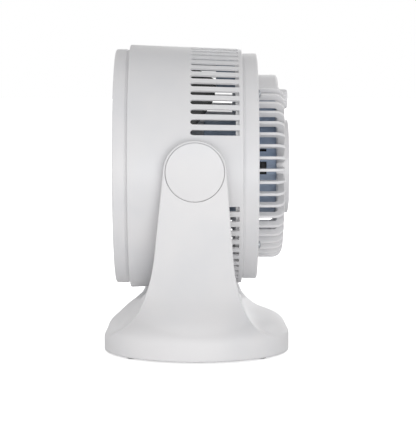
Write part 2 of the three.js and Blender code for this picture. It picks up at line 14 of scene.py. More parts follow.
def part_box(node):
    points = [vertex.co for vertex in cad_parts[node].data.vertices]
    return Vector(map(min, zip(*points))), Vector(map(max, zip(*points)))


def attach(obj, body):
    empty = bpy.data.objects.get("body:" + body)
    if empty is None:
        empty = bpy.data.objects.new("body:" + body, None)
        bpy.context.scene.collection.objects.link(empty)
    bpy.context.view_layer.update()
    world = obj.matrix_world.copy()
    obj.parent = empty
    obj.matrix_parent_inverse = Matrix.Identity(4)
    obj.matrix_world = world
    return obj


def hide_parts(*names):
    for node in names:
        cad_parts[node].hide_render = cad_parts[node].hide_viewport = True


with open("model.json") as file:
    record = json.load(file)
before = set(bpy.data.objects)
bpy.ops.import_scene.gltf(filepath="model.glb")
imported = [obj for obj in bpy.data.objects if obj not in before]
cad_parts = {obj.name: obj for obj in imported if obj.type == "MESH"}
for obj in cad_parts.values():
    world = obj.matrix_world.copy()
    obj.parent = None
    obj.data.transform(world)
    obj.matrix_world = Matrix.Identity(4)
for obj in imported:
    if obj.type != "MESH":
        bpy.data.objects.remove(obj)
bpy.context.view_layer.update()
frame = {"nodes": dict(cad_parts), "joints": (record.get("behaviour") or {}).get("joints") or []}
mm = 0.001
print("frame loaded:", len(frame["nodes"]), "nodes")


def reach(node):
    # a round node's radius, its two ends along the fan axis and its height, in millimetres
    low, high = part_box(node)
    return {
        "radius": (high.x - low.x) / 2 / mm,
        "front": low.y / mm,
        "back": high.y / mm,
        "middle": (low.z + high.z) / 2 / mm,
    }


axisZ = reach("front_ring")["middle"]
tilt = next(joint for joint in frame["joints"] if joint["name"] == "tilt")
pivotY = tilt["pos_m"][1] / mm


# Colour and node helpers

def linear(hexColour):
    parts = [int(hexColour[i:i + 2], 16) / 255 for i in (1, 3, 5)]
    return [c / 12.92 if c <= 0.04045 else ((c + 0.055) / 1.055) ** 2.4 for c in parts] + [1.0]


def addNode(tree, kind, settings=None, links=None):
    node = tree.nodes.new(kind)
    for name, value in (settings or {}).items():
        if isinstance(name, str) and hasattr(node, name):
            setattr(node, name, value)
        else:
            node.inputs[name].default_value = value
    for name, source in (links or {}).items():
        tree.links.new(source, node.inputs[name])
    return node


def newMaterial(name, settings):
    # an empty material, its shader, and the object's own coordinates to lay patterns on
    material = bpy.data.materials.new(name)
    material.use_nodes = True
    tree = material.node_tree
    tree.nodes.clear()
    shader = addNode(tree, "ShaderNodeBsdfPrincipled", settings)
    addNode(tree, "ShaderNodeOutputMaterial", {}, {"Surface": shader.outputs["BSDF"]})
    return material, tree, shader, addNode(tree, "ShaderNodeTexCoord").outputs["Object"]


def noise(tree, place, size, detail):
    # clouds of about this size in millimetres
    settings = {"Scale": 1 / (size * mm), "Detail": detail}
    return addNode(tree, "ShaderNodeTexNoise", settings, {"Vector": place}).outputs["Fac"]


def ranged(tree, value, settings):
    return addNode(tree, "ShaderNodeMapRange", settings, {"Value": value}).outputs["Result"]


def twoTone(tree, look, share):
    settings = {"data_type": "RGBA", 6: linear(look["shade"]), 7: linear(look["colour"])}
    return addNode(tree, "ShaderNodeMix", settings, {0: share}).outputs[2]


def relief(tree, height, strength, depth):
    settings = {"Strength": strength, "Distance": depth * mm}
    return addNode(tree, "ShaderNodeBump", settings, {"Height": height}).outputs["Normal"]


def wire(tree, shader, sources):
    for name, source in sources.items():
        tree.links.new(source, shader.inputs[name])


def mouldedPlastic(name, look):
    # A moulded polymer: fine spark-eroded grain from the tool, faint flow clouds in the tone,
    # and edges painted a little lighter, partly as wear from handling and partly as a painted highlight.
    material, tree, shader, place = newMaterial(name, {"IOR": look["ior"], "Metallic": 0.0})
    clouds = noise(tree, place, look["cloud"], 3.0)
    grain = noise(tree, place, look["grain"], 2.0)
    tone = twoTone(tree, look, ranged(tree, clouds, {"From Min": 0.35, "From Max": 0.62}))
    corners = addNode(tree, "ShaderNodeNewGeometry").outputs["Pointiness"]
    # corners found by Pointiness get the lighter edge colour: wear and painted highlight
    wearAndHighlight = ranged(tree, corners, {"From Min": 0.53, "From Max": 0.62, "To Max": look["edgeWearAndHighlight"]})
    wornAndHighlighted = addNode(tree, "ShaderNodeMix", {"data_type": "RGBA", 7: linear(look["edge"])}, {0: wearAndHighlight, 6: tone})
    gloss = ranged(tree, clouds, {"From Min": 0.3, "From Max": 0.7, "To Min": look["rough"] - 0.05,
                                  "To Max": look["rough"] + 0.05})
    wire(tree, shader, {"Base Color": wornAndHighlighted.outputs[2], "Roughness": gloss,
                        "Normal": relief(tree, grain, look["relief"], 0.12)})
    return material


# White ABS, injection moulded with a satin tool finish. The real grain is about 0.3 mm, and it is
# drawn at 1.2 mm so that it still shows as a faint mattness.
# each look's edge colour and its share are the lighter tone painted on corners, as wear and as painted
# highlight
whiteLook = {"colour": "#edeced", "shade": "#e8e8ea", "edge": "#f6f6f7", "edgeWearAndHighlight": 0.5, "ior": 1.54,
             "rough": 0.42, "cloud": 70, "grain": 1.2, "relief": 0.1}
whiteAbs = mouldedPlastic("satin_white_abs", whiteLook)

# The same resin where it was moulded in a polished tool, as on the round caps
capLook = {**whiteLook, "rough": 0.34, "relief": 0.05, "edge": "#f8f8f9"}
polishedAbs = mouldedPlastic("polished_white_abs", capLook)

# Polypropylene of the motor housing, with a coarser grain than the outside. Its cool grey-blue tone is
# painted shade for white plastic lying in shadow inside the head; the speed marks take it as their own grey.
greyAndShadeLook = {"colour": "#a9b8ce", "shade": "#97a8c1", "edge": "#c3cede", "edgeWearAndHighlight": 0.4, "ior": 1.49,
            "rough": 0.5, "cloud": 30, "grain": 1.4, "relief": 0.15}
greyAndShadePolypropylene = mouldedPlastic("grey_and_painted_shade_polypropylene", greyAndShadeLook)

# Black ABS of the impeller, shinier, with a little dust in its tone
blackLook = {"colour": "#15171b", "shade": "#1e2126", "edge": "#33373d", "edgeWearAndHighlight": 0.5, "ior": 1.54,
             "rough": 0.3, "cloud": 25, "grain": 1.4, "relief": 0.08}
blackAbs = mouldedPlastic("black_abs", blackLook)

# Nitrile rubber of the feet, grommet and washers: matt, slightly mottled
rubberLook = {"colour": "#26272a", "shade": "#303134", "edge": "#45464a", "edgeWearAndHighlight": 0.4, "ior": 1.52,
              "rough": 0.8, "cloud": 8, "grain": 1.0, "relief": 0.3}
nitrileRubber = mouldedPlastic("matt_nitrile_rubber", rubberLook)


def brushedMetal(name, look):
    # A rolled or turned metal: fine parallel marks along one direction and a mottled gloss.
    material, tree, shader, place = newMaterial(name, {"Metallic": 1.0})
    along = addNode(tree, "ShaderNodeMapping", {"Scale": look["stretch"]}, {"Vector": place})
    marks = noise(tree, along.outputs["Vector"], look["mark"], 3.0)
    tone = twoTone(tree, look, noise(tree, place, look["mottle"], 2.0))
    gloss = ranged(tree, marks, {"To Min": look["rough"] - 0.08, "To Max": look["rough"] + 0.12})
    wire(tree, shader, {"Base Color": tone, "Roughness": gloss, "Normal": relief(tree, marks, 0.15, 0.05)})
    return material


# Zinc-plated steel of the screws and shafts, with turning marks about 0.5 mm apart
zincLook = {"colour": "#c9ccd0", "shade": "#a9adb2", "rough": 0.32, "mark": 0.5, "mottle": 4,
            "stretch": (1, 4, 1)}
zincSteel = brushedMetal("zinc_plated_steel", zincLook)

# Black electro-coated steel of the motor's bells, smooth with a soft sheen
coatLook = {"colour": "#1b1d20", "shade": "#131417", "edge": "#2c2e32", "edgeWearAndHighlight": 0.3, "ior": 1.5,
            "rough": 0.45, "cloud": 12, "grain": 1.0, "relief": 0.05}
coatedSteel = mouldedPlastic("black_coated_steel", coatLook)


def stripedMetal(name, look):
    # Thin layers side by side, as stacked steel sheets or wound wire: a wave in the tone and in the relief.
    material, tree, shader, place = newMaterial(name, {"Metallic": 1.0, "Roughness": look["rough"]})
    waves = {"bands_direction": look["across"], "Distortion": look["wander"],
             "Scale": math.pi / 10 / (look["pitch"] * mm)}
    layers = addNode(tree, "ShaderNodeTexWave", waves, {"Vector": place}).outputs["Fac"]
    wire(tree, shader, {"Base Color": twoTone(tree, look, layers), "Normal": relief(tree, layers, 0.6, 0.2)})
    return material


# Silicon-steel laminations, 0.5 mm each, drawn 1 mm thick so that the stack reads as layers
laminations = stripedMetal("silicon_steel_laminations", {
    "colour": "#8d9094", "shade": "#4d5054", "rough": 0.45, "across": "Y", "wander": 0.0, "pitch": 1.0})
# Enamelled copper winding wire, 0.4 mm, drawn 1 mm apart
copperWire = stripedMetal("enamelled_copper_wire", {
    "colour": "#b8683a", "shade": "#6d3218", "rough": 0.35, "across": "X", "wander": 1.5, "pitch": 1.0})
print("materials made")


# Mesh helpers

def arcPoints(before, corner, after, radius, steps):
    # the points of a rounded corner between two edges
    inward = (Vector(before) - Vector(corner)).normalized()
    outward = (Vector(after) - Vector(corner)).normalized()
    half = inward.angle(outward) / 2
    longest = 0.49 * min((Vector(before) - Vector(corner)).length, (Vector(after) - Vector(corner)).length)
    setback = min(radius / math.tan(half), longest)
    radius = setback * math.tan(half)
    centre = Vector(corner) + (inward + outward).normalized() * radius / math.sin(half)
    first = Vector(corner) + inward * setback - centre
    last = Vector(corner) + outward * setback - centre
    return [tuple(centre + first.slerp(last, k / steps).normalized() * radius) for k in range(steps + 1)]


def rounded(corners, steps=5):
    # a closed section of (across, along, corner radius) as plain points
    points = []
    for k, (u, v, radius) in enumerate(corners):
        if radius == 0:
            points.append((u, v))
            continue
        before = corners[k - 1][:2]
        after = corners[(k + 1) % len(corners)][:2]
        points += arcPoints(before, (u, v), after, radius, steps)
    return points


def alongY(x, z):
    # places a spun section round an axis along Y; angle 0 is straight up, and grows towards +X
    def at(radius, along, angle):
        return Vector((x + radius * math.sin(angle), along, z + radius * math.cos(angle)))

    return at


def alongZ(x, y, widen=1):
    # the same round an upright axis, for an oval that may be wider in X than in Y
    def at(radius, along, angle):
        return Vector((x + radius * math.cos(angle) * widen, y + radius * math.sin(angle), along))

    return at


fanPoint = alongY(0, axisZ)


def pivotPoint(radius, along, angle):
    # round the tilt axis: along is the distance outwards on the +X side
    return Vector((along, pivotY + radius * math.sin(angle), axisZ + radius * math.cos(angle)))


def bridge(bm, first, second):
    for k in range(len(first)):
        around = [first[k], first[(k + 1) % len(first)], second[(k + 1) % len(second)], second[k]]
        corners = list(dict.fromkeys(around))
        if len(corners) > 2 and not bm.faces.get(corners):
            bm.faces.new(corners)


def spin(bm, section, turns=160, place=fanPoint, steps=5):
    # a closed section of (radius, along, corner radius) spun once round an axis
    points = rounded(section, steps)
    axisVerts = {p: bm.verts.new(place(0, p[1], 0)) for p in points if p[0] < 1e-6}
    loops = []
    for k in range(turns):
        angle = 2 * math.pi * k / turns
        loops.append([axisVerts.get(p) or bm.verts.new(place(p[0], p[1], angle)) for p in points])
    for k in range(turns):
        here = loops[k]
        there = loops[(k + 1) % turns]
        for i in range(len(points)):
            j = (i + 1) % len(points)
            corners = list(dict.fromkeys([here[i], here[j], there[j], there[i]]))
            if len(corners) > 2:
                bm.faces.new(corners)
    return bm


def quarter(steps):
    return [math.pi / 2 * k / steps for k in range(steps + 1)]


def lofted(bm, loops):
    # a closed solid through a row of outlines
    for first, second in zip(loops, loops[1:]):
        bridge(bm, first, second)
    bm.faces.new(loops[0])
    bm.faces.new(loops[-1])


def cleaned(bm):
    bmesh.ops.remove_doubles(bm, verts=bm.verts, dist=1e-3)
    bmesh.ops.recalc_face_normals(bm, faces=bm.faces)
    return bm


def objectFrom(name, bm):
    mesh = bpy.data.meshes.new(name)
    bm.to_mesh(mesh)
    bm.free()
    made = bpy.data.objects.new(name, mesh)
    bpy.context.scene.collection.objects.link(made)
    return made


def finished(name, bm, body, material, nodes=(), wall=None, bevel=None, sharp=38):
    # turns the working mesh into an object in metres that rides on a body and stands for its CAD nodes
    cleaned(bm).transform(Matrix.Scale(mm, 4))
    piece = objectFrom(name, bm)
    piece.data.materials.append(material)
    piece.data.shade_smooth()
    piece.data.set_sharp_from_angle(angle=math.radians(sharp))
    if wall:
        shell = piece.modifiers.new("wall", "SOLIDIFY")
        shell.thickness = wall * mm
        shell.offset = -1
        shell.use_even_offset = True
    if bevel:
        rounding = piece.modifiers.new("edges", "BEVEL")
        rounding.width = bevel * mm
        rounding.segments = 2
        rounding.limit_method = "ANGLE"
        rounding.angle_limit = math.radians(sharp)
        rounding.harden_normals = True
    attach(piece, body)
    if nodes:
        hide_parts(*nodes)


def turnedCopy(bm, angle):
    # the same working mesh turned round the fan axis
    copy = bm.copy()
    centre = Vector((0, 0, axisZ))
    bmesh.ops.rotate(copy, verts=copy.verts, cent=centre, matrix=Matrix.Rotation(angle, 3, "Y"))
    return copy


def merged(target, source):
    scratch = bpy.data.meshes.new("scratch")
    source.to_mesh(scratch)
    source.free()
    target.from_mesh(scratch)
    bpy.data.meshes.remove(scratch)


def withoutModifiers(piece):
    graph = bpy.context.evaluated_depsgraph_get()
    mesh = bpy.data.meshes.new_from_object(piece.evaluated_get(graph))
    piece.modifiers.clear()
    piece.data = mesh
    return piece


# A wall of tiles round the fan axis; an open tile has a slot in its middle.
# Its columns are shared with the plain rows in front of it and behind it.

def slottedBand(bm, radiusAt, tiles, widthAt, slot, rows, columns=8):
    pitch = 2 * math.pi / tiles
    straight = slot["front"] + (slot["width"] / 2 if slot["roundFront"] else 0)
    sideAlong = [straight + (slot["back"] - straight) * j / rows for j in range(rows + 1)]
    edgeAlong = [slot["bandFront"], *sideAlong[1:-1], slot["bandBack"]]
    spread = [pitch * (i / columns - 0.5) for i in range(columns + 1)]

    def vert(turn, along):
        return bm.verts.new(fanPoint(radiusAt(along), along, turn))

    for k in range(tiles):
        middle = k * pitch
        half = (widthAt(k) or 0) / 2
        if not half:
            for i in range(columns):
                for j in range(rows):
                    cell = [(i, j), (i + 1, j), (i + 1, j + 1), (i, j + 1)]
                    bm.faces.new([vert(middle + spread[a], edgeAlong[b]) for a, b in cell])
            continue
        outer = [(u, edgeAlong[0]) for u in spread] + [(spread[-1], y) for y in edgeAlong[1:-1]]
        outer += [(u, edgeAlong[-1]) for u in reversed(spread)]
        outer += [(spread[0], y) for y in edgeAlong[-2:0:-1]]
        if slot["roundFront"]:
            turns = [math.pi * i / columns for i in range(columns + 1)]
            inner = [(-half * math.cos(turn), straight - half * math.sin(turn)) for turn in turns]
        else:
            inner = [(half * (2 * i / columns - 1), straight) for i in range(columns + 1)]
        inner += [(half, y) for y in sideAlong[1:-1]]
        inner += [(half * (1 - 2 * i / columns), slot["back"]) for i in range(columns + 1)]
        inner += [(-half, y) for y in sideAlong[-2:0:-1]]
        bridge(bm, [vert(middle + u, y) for u, y in outer],
               [vert(middle + dx / radiusAt(y), y) for dx, y in inner])


def plainRows(bm, points, around):
    # open rows of (radius, along) points round the fan axis
    loops = []
    for radius, along in points:
        loops.append([bm.verts.new(fanPoint(radius, along, 2 * math.pi * k / around)) for k in range(around)])
    for first, second in zip(loops, loops[1:]):
        bridge(bm, first, second)


# Front bezel: a ring with a soft front corner and a shadow groove where it enters the drum

bezelEdge = reach("front_ring")
bezel = {
    "corner": 2.4,
    "lip": 120,         # radius of the opening
    "grooveDepth": 0.6,
    "grooveFront": 3.4,  # in front of the drum's edge
    "wall": 2.6,
}
drumEdge = reach("shroud")


def makeBezel():
    outer, front, back = bezelEdge["radius"], bezelEdge["front"], bezelEdge["back"]
    groove = drumEdge["front"] - bezel["grooveFront"]
    inner = outer - bezel["grooveDepth"]
    bm = spin(bmesh.new(), [
        (inner, back, 0.4), (inner, groove + 1.2, 0.5), (outer, groove, 0.7), (outer, front, bezel["corner"]),
        (bezel["lip"], front, 1.1), (bezel["lip"], front + bezel["wall"], 0.5),
        (inner - bezel["wall"], front + bezel["wall"], 0.8), (inner - bezel["wall"], back, 0.4)], 192)
    finished("front_bezel", bm, "head", whiteAbs, ["front_ring"])


# Front guard: leaning curved ribs between three rings

guardEdge = reach("front_grille")
guard = {
    "ribs": 60,
    "lean": 14,           # degrees that each half of a rib leans
    "ribWidth": 2.2,
    "ribDepth": 4.8,
    "steps": 12,
    "rim": 7,             # width of the outer ring
    "lap": 5,             # how far the ribs run into it
    "middle": 76,         # radius of the middle ring, and half its width
    "band": 1.5,
    "hub": 31,
    "hubRing": (0.6, 3.4),  # the inner ring, outside the hub
}


def guardRib(bm, fromRadius, toRadius, turn):
    # a rib with a rounded front, carried along a leaning curve
    half, lean = guard["ribWidth"] / 2, guard["lean"]
    front, back = guardEdge["front"], guardEdge["front"] + guard["ribDepth"]
    section = rounded([(-half, front, half * 0.95), (half, front, half * 0.95), (half * 0.8, back, 0.3),
                       (-half * 0.8, back, 0.3)], 4)
    loops = []
    for k in range(guard["steps"] + 1):
        t = k / guard["steps"]
        radius = fromRadius + (toRadius - fromRadius) * t
        angle = math.radians(turn + lean * t)
        slant = angle + math.atan2(radius * math.radians(lean), toRadius - fromRadius)
        side = Vector((math.cos(slant), 0, -math.sin(slant)))
        loops.append([bm.verts.new(fanPoint(radius, y, angle) + side * x) for x, y in section])
    lofted(bm, loops)


def makeGuard():
    front, back, radius = guardEdge["front"], guardEdge["back"], guardEdge["radius"]
    middle, band, hub, hubRing = guard["middle"], guard["band"], guard["hub"], guard["hubRing"]
    bm = bmesh.new()
    for inner, outer in [(radius - guard["rim"], radius), (middle - band, middle + band),
                         (hub + hubRing[0], hub + hubRing[1])]:
        spin(bm, [(inner, front, 0.7), (outer, front, 0.7), (outer, back, 0.4), (inner, back, 0.4)], 160)
    for k in range(guard["ribs"]):
        turn = 360 * k / guard["ribs"]
        guardRib(bm, middle, radius - guard["lap"], turn + guard["lean"])
        if k % 2 == 0:
            guardRib(bm, hub + band, middle, turn)
    finished("front_guard", bm, "head", whiteAbs, ["front_grille"])


def makeFrontCap():
    # a shallow domed cap with a fine step near its rim
    edge = reach("front_cap")
    r, front, back = edge["radius"], edge["front"], edge["back"]
    inside = r - 2.6
    bm = spin(bmesh.new(), [
        (0, front, 0), (r * 0.5, front + 0.25, 4), (r - 5, front + 0.9, 1.2), (r - 4.6, front + 1.4, 0.2),
        (r - 4, front + 1.3, 0.2), (r, front + 1.9, 1.2), (r, back, 0.5), (inside, back, 0.5),
        (inside, front + 5, 0.5), (0, front + 3.6, 0)], 128)
    finished("front_cap_disc", bm, "head", polishedAbs, ["front_cap"])


duct = {"inner": 116, "outer": 118.4, "flangeFront": -46.5, "flangeBack": -44}


def makeDuct():
    # the ring close round the impeller, with a flared mouth and a flange half way back
    edge = reach("air_duct")
    inner, outer, flange = duct["inner"], duct["outer"], edge["radius"]
    bm = spin(bmesh.new(), [
        (inner, edge["front"], 1.1), (outer, edge["front"], 1.1), (outer, duct["flangeFront"], 0.6),
        (flange, duct["flangeFront"], 0.4), (flange, duct["flangeBack"], 0.4),
        (outer, duct["flangeBack"], 0.6), (outer, edge["back"], 1.0), (inner, edge["back"], 1.0)], 160)
    finished("impeller_duct", bm, "head", whiteAbs, ["air_duct"])


# Drum: a gently tapering wall whose rear half is open in long slots

drum = {
    "rearRadius": 128.1,
    "corner": 1.3,       # the rounded front edge
    "rearCorner": 0.9,
    "seam": 0.3,         # gap to the rings in front and behind
    "wall": 2.6,
    "rows": [-62, -50, -38, -26, -16],
    "tiles": 70,         # slots and blanks round the drum
    "columns": 8,
    "blank": 18,         # degrees without slots on each side of a pivot
    "slot": {"width": 5.8, "front": -6.3, "back": 44.8, "bandFront": -9.6, "bandBack": 47.0,
             "roundFront": True},
}


def drumRadius(along):
    t = (along - drumEdge["front"]) / (drumEdge["back"] - drumEdge["front"])
    return drumEdge["radius"] + (drum["rearRadius"] - drumEdge["radius"]) * t


def slotWidthAt(k):
    # none near the two pivots
    fromSide = abs((360 * k / drum["tiles"]) % 180 - 90)
    return drum["slot"]["width"] if fromSide > drum["blank"] - 0.1 else None


def makeDrum():
    front, back, corner, slot = drumEdge["front"], drumEdge["back"], drum["corner"], drum["slot"]
    around = drum["tiles"] * drum["columns"]
    frontArc = [(drumRadius(front) - corner * (1 - math.sin(a)), front + corner * (1 - math.cos(a)))
                for a in quarter(6)]
    plain = [(drumRadius(y), y) for y in [*drum["rows"], slot["bandFront"]]]
    bm = bmesh.new()
    plainRows(bm, [(bezelEdge["radius"] + drum["seam"], front), *frontArc, *plain], around)
    slottedBand(bm, drumRadius, drum["tiles"], slotWidthAt, slot, 12, drum["columns"])
    r, rear = drum["rearRadius"], drum["rearCorner"]
    rearArc = [(r - rear * (1 - math.cos(a)), back - rear * (1 - math.sin(a))) for a in quarter(4)]
    tail = bmesh.new()
    plainRows(tail, [(drumRadius(slot["bandBack"]), slot["bandBack"]), *rearArc,
                     (rearEdge["radius"] + drum["seam"], back)], around)
    merged(bm, tail)
    finished("slotted_drum", bm, "head", whiteAbs, ["shroud"], wall=drum["wall"], bevel=0.45)


# Rear ring: the narrower step behind the drum

rearEdge = reach("rear_ring")
rearRing = {"inside": 119.8, "opening": 101.6, "corner": 1.8, "seam": 49.3, "groove": 0.3, "wall": 2.6}


def makeRearRing():
    r, front, back = rearEdge["radius"], rearEdge["front"], rearEdge["back"]
    seam, opening, inside = [rearRing[key] for key in ("seam", "opening", "inside")]
    bed = r - rearRing["groove"]
    bm = spin(bmesh.new(), [
        (bed, front, 0.3), (bed, seam + 1.7, 0.3), (r, seam + 2.1, 0.4), (r, back, rearRing["corner"]),
        (opening, back, 0.6), (opening, back - rearRing["wall"], 0.4), (inside, back - rearRing["wall"], 0.8),
        (inside, front, 0.3)], 192)
    finished("rear_step_ring", bm, "head", whiteAbs, ["rear_ring"])


# Rear basket: fins that run back along its side and in across its face

basketEdge = reach("rear_grille")
basket = {
    "radius": 100.2,
    "foot": 61.5,        # where the fins start
    "corner": 11,
    "bend": 3.5,         # inside the corner
    "depth": 8,
    "fins": 48,
    "finWidth": 3.0,
    "gapForPod": 30,     # degrees on each side of the top
    "flange": 2.5,
    "play": 0.3,
    "hubWidth": 3.3,
}
capEdge = reach("rear_cap")


def finMesh():
    radius, back, depth, foot = basket["radius"], basketEdge["back"], basket["depth"], basket["foot"]
    inner = capEdge["radius"] + 2
    outline = rounded([(foot, radius, 0), (back, radius, basket["corner"]), (back, inner, 0),
                       (back - depth, inner, 0), (back - depth, radius - depth, basket["bend"]),
                       (foot, radius - depth, 0)], 8)
    bm = bmesh.new()
    half = basket["finWidth"] / 2
    lofted(bm, [[bm.verts.new((x, y, axisZ + r)) for y, r in outline] for x in (-half, half)])
    return bm


def makeBasket():
    gap, pitch = basket["gapForPod"], 360 / basket["fins"]
    angles = [k * pitch for k in range(basket["fins"]) if gap + 1 < k * pitch < 360 - gap - 1]
    angles += [gap + pitch / 8, 360 - gap - pitch / 8]
    bm = bmesh.new()
    fin = finMesh()
    for angle in angles:
        merged(bm, turnedCopy(fin, math.radians(angle)))
    fin.free()
    inner, rim, rear = basket["radius"] - basket["depth"], basketEdge["radius"], rearEdge["back"]
    seat, opening = rear - rearRing["wall"] - basket["play"], rearRing["opening"] - basket["play"]
    spin(bm, [(inner, seat - basket["flange"], 0.5), (rim, seat - basket["flange"], 0.3), (rim, seat, 0.3),
              (opening, seat, 0.3), (opening, rear, 0.5), (inner, rear, 0.5)], 160)
    hub, back = capEdge["radius"] + basket["play"], basketEdge["back"]
    spin(bm, [(hub, back - basket["depth"], 0.5), (hub + basket["hubWidth"], back - basket["depth"], 0.5),
              (hub + basket["hubWidth"], back, 0.8), (hub, back, 0.8)], 128)
    finished("rear_basket", bm, "head", whiteAbs, ["rear_grille"], bevel=0.55)


rearCap = {"front": 88.9, "corner": 1.4, "wall": 2.6, "top": 2.8}


def makeRearCap():
    # plain flat cap with a soft corner and a fine ring pressed into its face
    r, front, back = capEdge["radius"], rearCap["front"], capEdge["back"]
    inside, under = r - rearCap["wall"], back - rearCap["top"]
    bm = spin(bmesh.new(), [
        (0, back - 0.1, 0), (r - 9.2, back - 0.1, 0.3), (r - 8.8, back - 0.6, 0.2),
        (r - 8.2, back - 0.6, 0.2), (r - 7.8, back - 0.05, 0.3), (r, back, rearCap["corner"]),
        (r, front, 0.5), (inside, front, 0.5), (inside, under, 0.6), (0, under, 0)], 160)
    finished("rear_motor_cap", bm, "head", polishedAbs, ["rear_cap"])


def makeGrommet():
    # a stepped rubber bush with a rolled lip, below the middle of the cap
    edge = reach("cord_grommet")
    back = edge["back"]
    bm = spin(bmesh.new(), [
        (3.6, back - 8, 0.3), (6, back - 8, 0.3), (6, back - 1.6, 0.2), (8, back - 1.6, 0.5),
        (7.4, back - 0.2, 0.7), (5.2, back, 0.6), (3.6, back - 1.6, 0.6)], 48, alongY(0, edge["middle"]))
    finished("lead_grommet", bm, "head", nitrileRubber, ["cord_grommet"])


# Control pod: an arched housing at the top of the basket, with the speed knob on its rear face

podEdge = reach("control_pod")
pod = {"halfAngle": 30, "outer": 100.2, "inner": 55.3, "corner": 4.0, "steps": 6, "arcSteps": 32, "wall": 2.6}


def podOutline(inset):
    # the arched outline, drawn in by an inset
    half, n = math.radians(pod["halfAngle"]), pod["arcSteps"]
    outer, inner = pod["outer"] - inset, pod["inner"] + inset
    top = [(outer, (half - inset / outer) * (2 * k / n - 1)) for k in range(n + 1)]
    return top + [(inner, (half - inset / inner) * (1 - 2 * k / n)) for k in range(n + 1)]


def makePod():
    bm = bmesh.new()
    back, corner, n = podEdge["back"], pod["corner"], pod["arcSteps"]
    levels = [(0.0, podEdge["front"])]
    levels += [(corner * (1 - math.cos(a)), back - corner * (1 - math.sin(a))) for a in quarter(pod["steps"])]
    loops = []
    for inset, along in levels:
        loops.append([bm.verts.new(fanPoint(r, along, angle)) for r, angle in podOutline(inset)])
    for first, second in zip(loops, loops[1:]):
        bridge(bm, first, second)
    lid = loops[-1]
    for k in range(n):
        bm.faces.new([lid[k], lid[k + 1], lid[2 * n - k], lid[2 * n + 1 - k]])
    finished("control_pod_shell", bm, "head", whiteAbs, ["control_pod"],
             wall=pod["wall"], bevel=0.5)


sidePlate = {
    "inner": 57,
    "outer": 91.4,
    "front": 67.0,
    "back": 85.3,
    "corner": 2.5,
    "levels": (0.3, 1.5),  # its two faces, above the end of the pod
}


def makePodEndShade():
    # grey-blue covers over the two flat ends of the pod, seen between the upper fins; their tone is painted
    # shade that darkens the pod's ends
    inner, outer, front, back = [sidePlate[key] for key in ("inner", "outer", "front", "back")]
    flat = rounded([(y, r, sidePlate["corner"])
                    for y, r in [(front, outer), (back, outer), (back, inner), (front, inner)]], 6)
    sine, cosine = math.sin(math.radians(pod["halfAngle"])), math.cos(math.radians(pod["halfAngle"]))
    bm = bmesh.new()
    for side in (1, -1):
        loops = []
        for off in sidePlate["levels"]:
            loops.append([bm.verts.new((side * (r * sine + off * cosine), y, axisZ + r * cosine - off * sine))
                          for y, r in flat])
        lofted(bm, loops)
    finished("pod_end_shade_plates", bm, "head", greyAndShadePolypropylene, bevel=0.3)


knobEdge = reach("speed_knob")
knob = {
    "flutes": 20,
    "perFlute": 6,
    "fluteDepth": 0.7,
    "skirt": 2.0,
    "pointerWidth": 1.6,
    "pointerFrom": 3,     # from the middle, and from the edge
    "pointerEnd": 2.4,
}


def makeKnob():
    # a skirted knob with grip flutes that fade out at its skirt and at its rounded face
    bm = bmesh.new()
    r, front, back, middle = knobEdge["radius"], knobEdge["front"], knobEdge["back"], knobEdge["middle"]
    top = front + knob["skirt"]
    levels = [(r - 0.4, front, 0), (r, front + 0.4, 0), (r, top - 0.4, 0), (r - 0.5, top, 0.2),
              (r - 0.5, top + 1, 1), (r - 0.8, back - 2.6, 1), (r - 1.2, back - 1.2, 0.8),
              (r - 1.7, back - 0.4, 0.4), (r - 2.6, back, 0), (r - 4.2, back - 0.25, 0), (3, back - 0.45, 0)]
    around = knob["flutes"] * knob["perFlute"]
    loops = []
    for radius, along, depth in levels:
        loop = []
        for angle in [2 * math.pi * k / around for k in range(around)]:
            cut = radius - knob["fluteDepth"] * depth * (0.5 + 0.5 * math.cos(knob["flutes"] * angle))
            loop.append(bm.verts.new((cut * math.sin(angle), along, middle + cut * math.cos(angle))))
        loops.append(loop)
    lofted(bm, loops)
    finished("speed_knob_grip", bm, "knob", polishedAbs, ["speed_knob"], sharp=50)
    line = bmesh.new()
    half = knob["pointerWidth"] / 2
    low, high = middle + knob["pointerFrom"], middle + r - knob["pointerEnd"]
    corners = [(-half, low), (half, low), (half, high), (-half, high)]
    pill = rounded([(x, z, half * 0.9) for x, z in corners], 5)
    lofted(line, [[line.verts.new((x, along, z)) for x, z in pill] for along in (back - 0.5, back - 0.02)])
    finished("knob_pointer", line, "knob", blackAbs, bevel=0.1)


# Speed marks: small raised bars that grow in number round the knob, one for each speed

speedMarks = {
    "turn": -45,          # degrees from one speed to the next
    "apart": 7,
    "clear": 3.4,         # from the knob's edge
    "bar": (0.45, 1.3),
    "dot": (1.1, 1.1),
}


def makeSpeedMarks():
    bm = bmesh.new()
    for step in range(4):
        for j in range(max(step, 1)):
            spread = speedMarks["apart"] * (j - (max(step, 1) - 1) / 2)
            angle = math.radians(speedMarks["turn"] * step + spread)
            outward = Vector((math.sin(angle), 0, math.cos(angle)))
            across = Vector((math.cos(angle), 0, -math.sin(angle)))
            centre = Vector((0, podEdge["back"], knobEdge["middle"]))
            centre += outward * (knobEdge["radius"] + speedMarks["clear"])
            half, tall = speedMarks["bar"] if step else speedMarks["dot"]
            corners = [(-half, -tall), (half, -tall), (half, tall), (-half, tall)]
            flat = rounded([(x, z, half * 0.9) for x, z in corners], 3)
            faces = [centre + Vector((0, lift, 0)) for lift in (-0.3, 0.25)]
            lofted(bm, [[bm.verts.new(face + across * x + outward * z) for x, z in flat] for face in faces])
    finished("speed_marks", bm, "head", greyAndShadePolypropylene)


# Motor housing: a cup with a ring of vents near the back, held by four struts

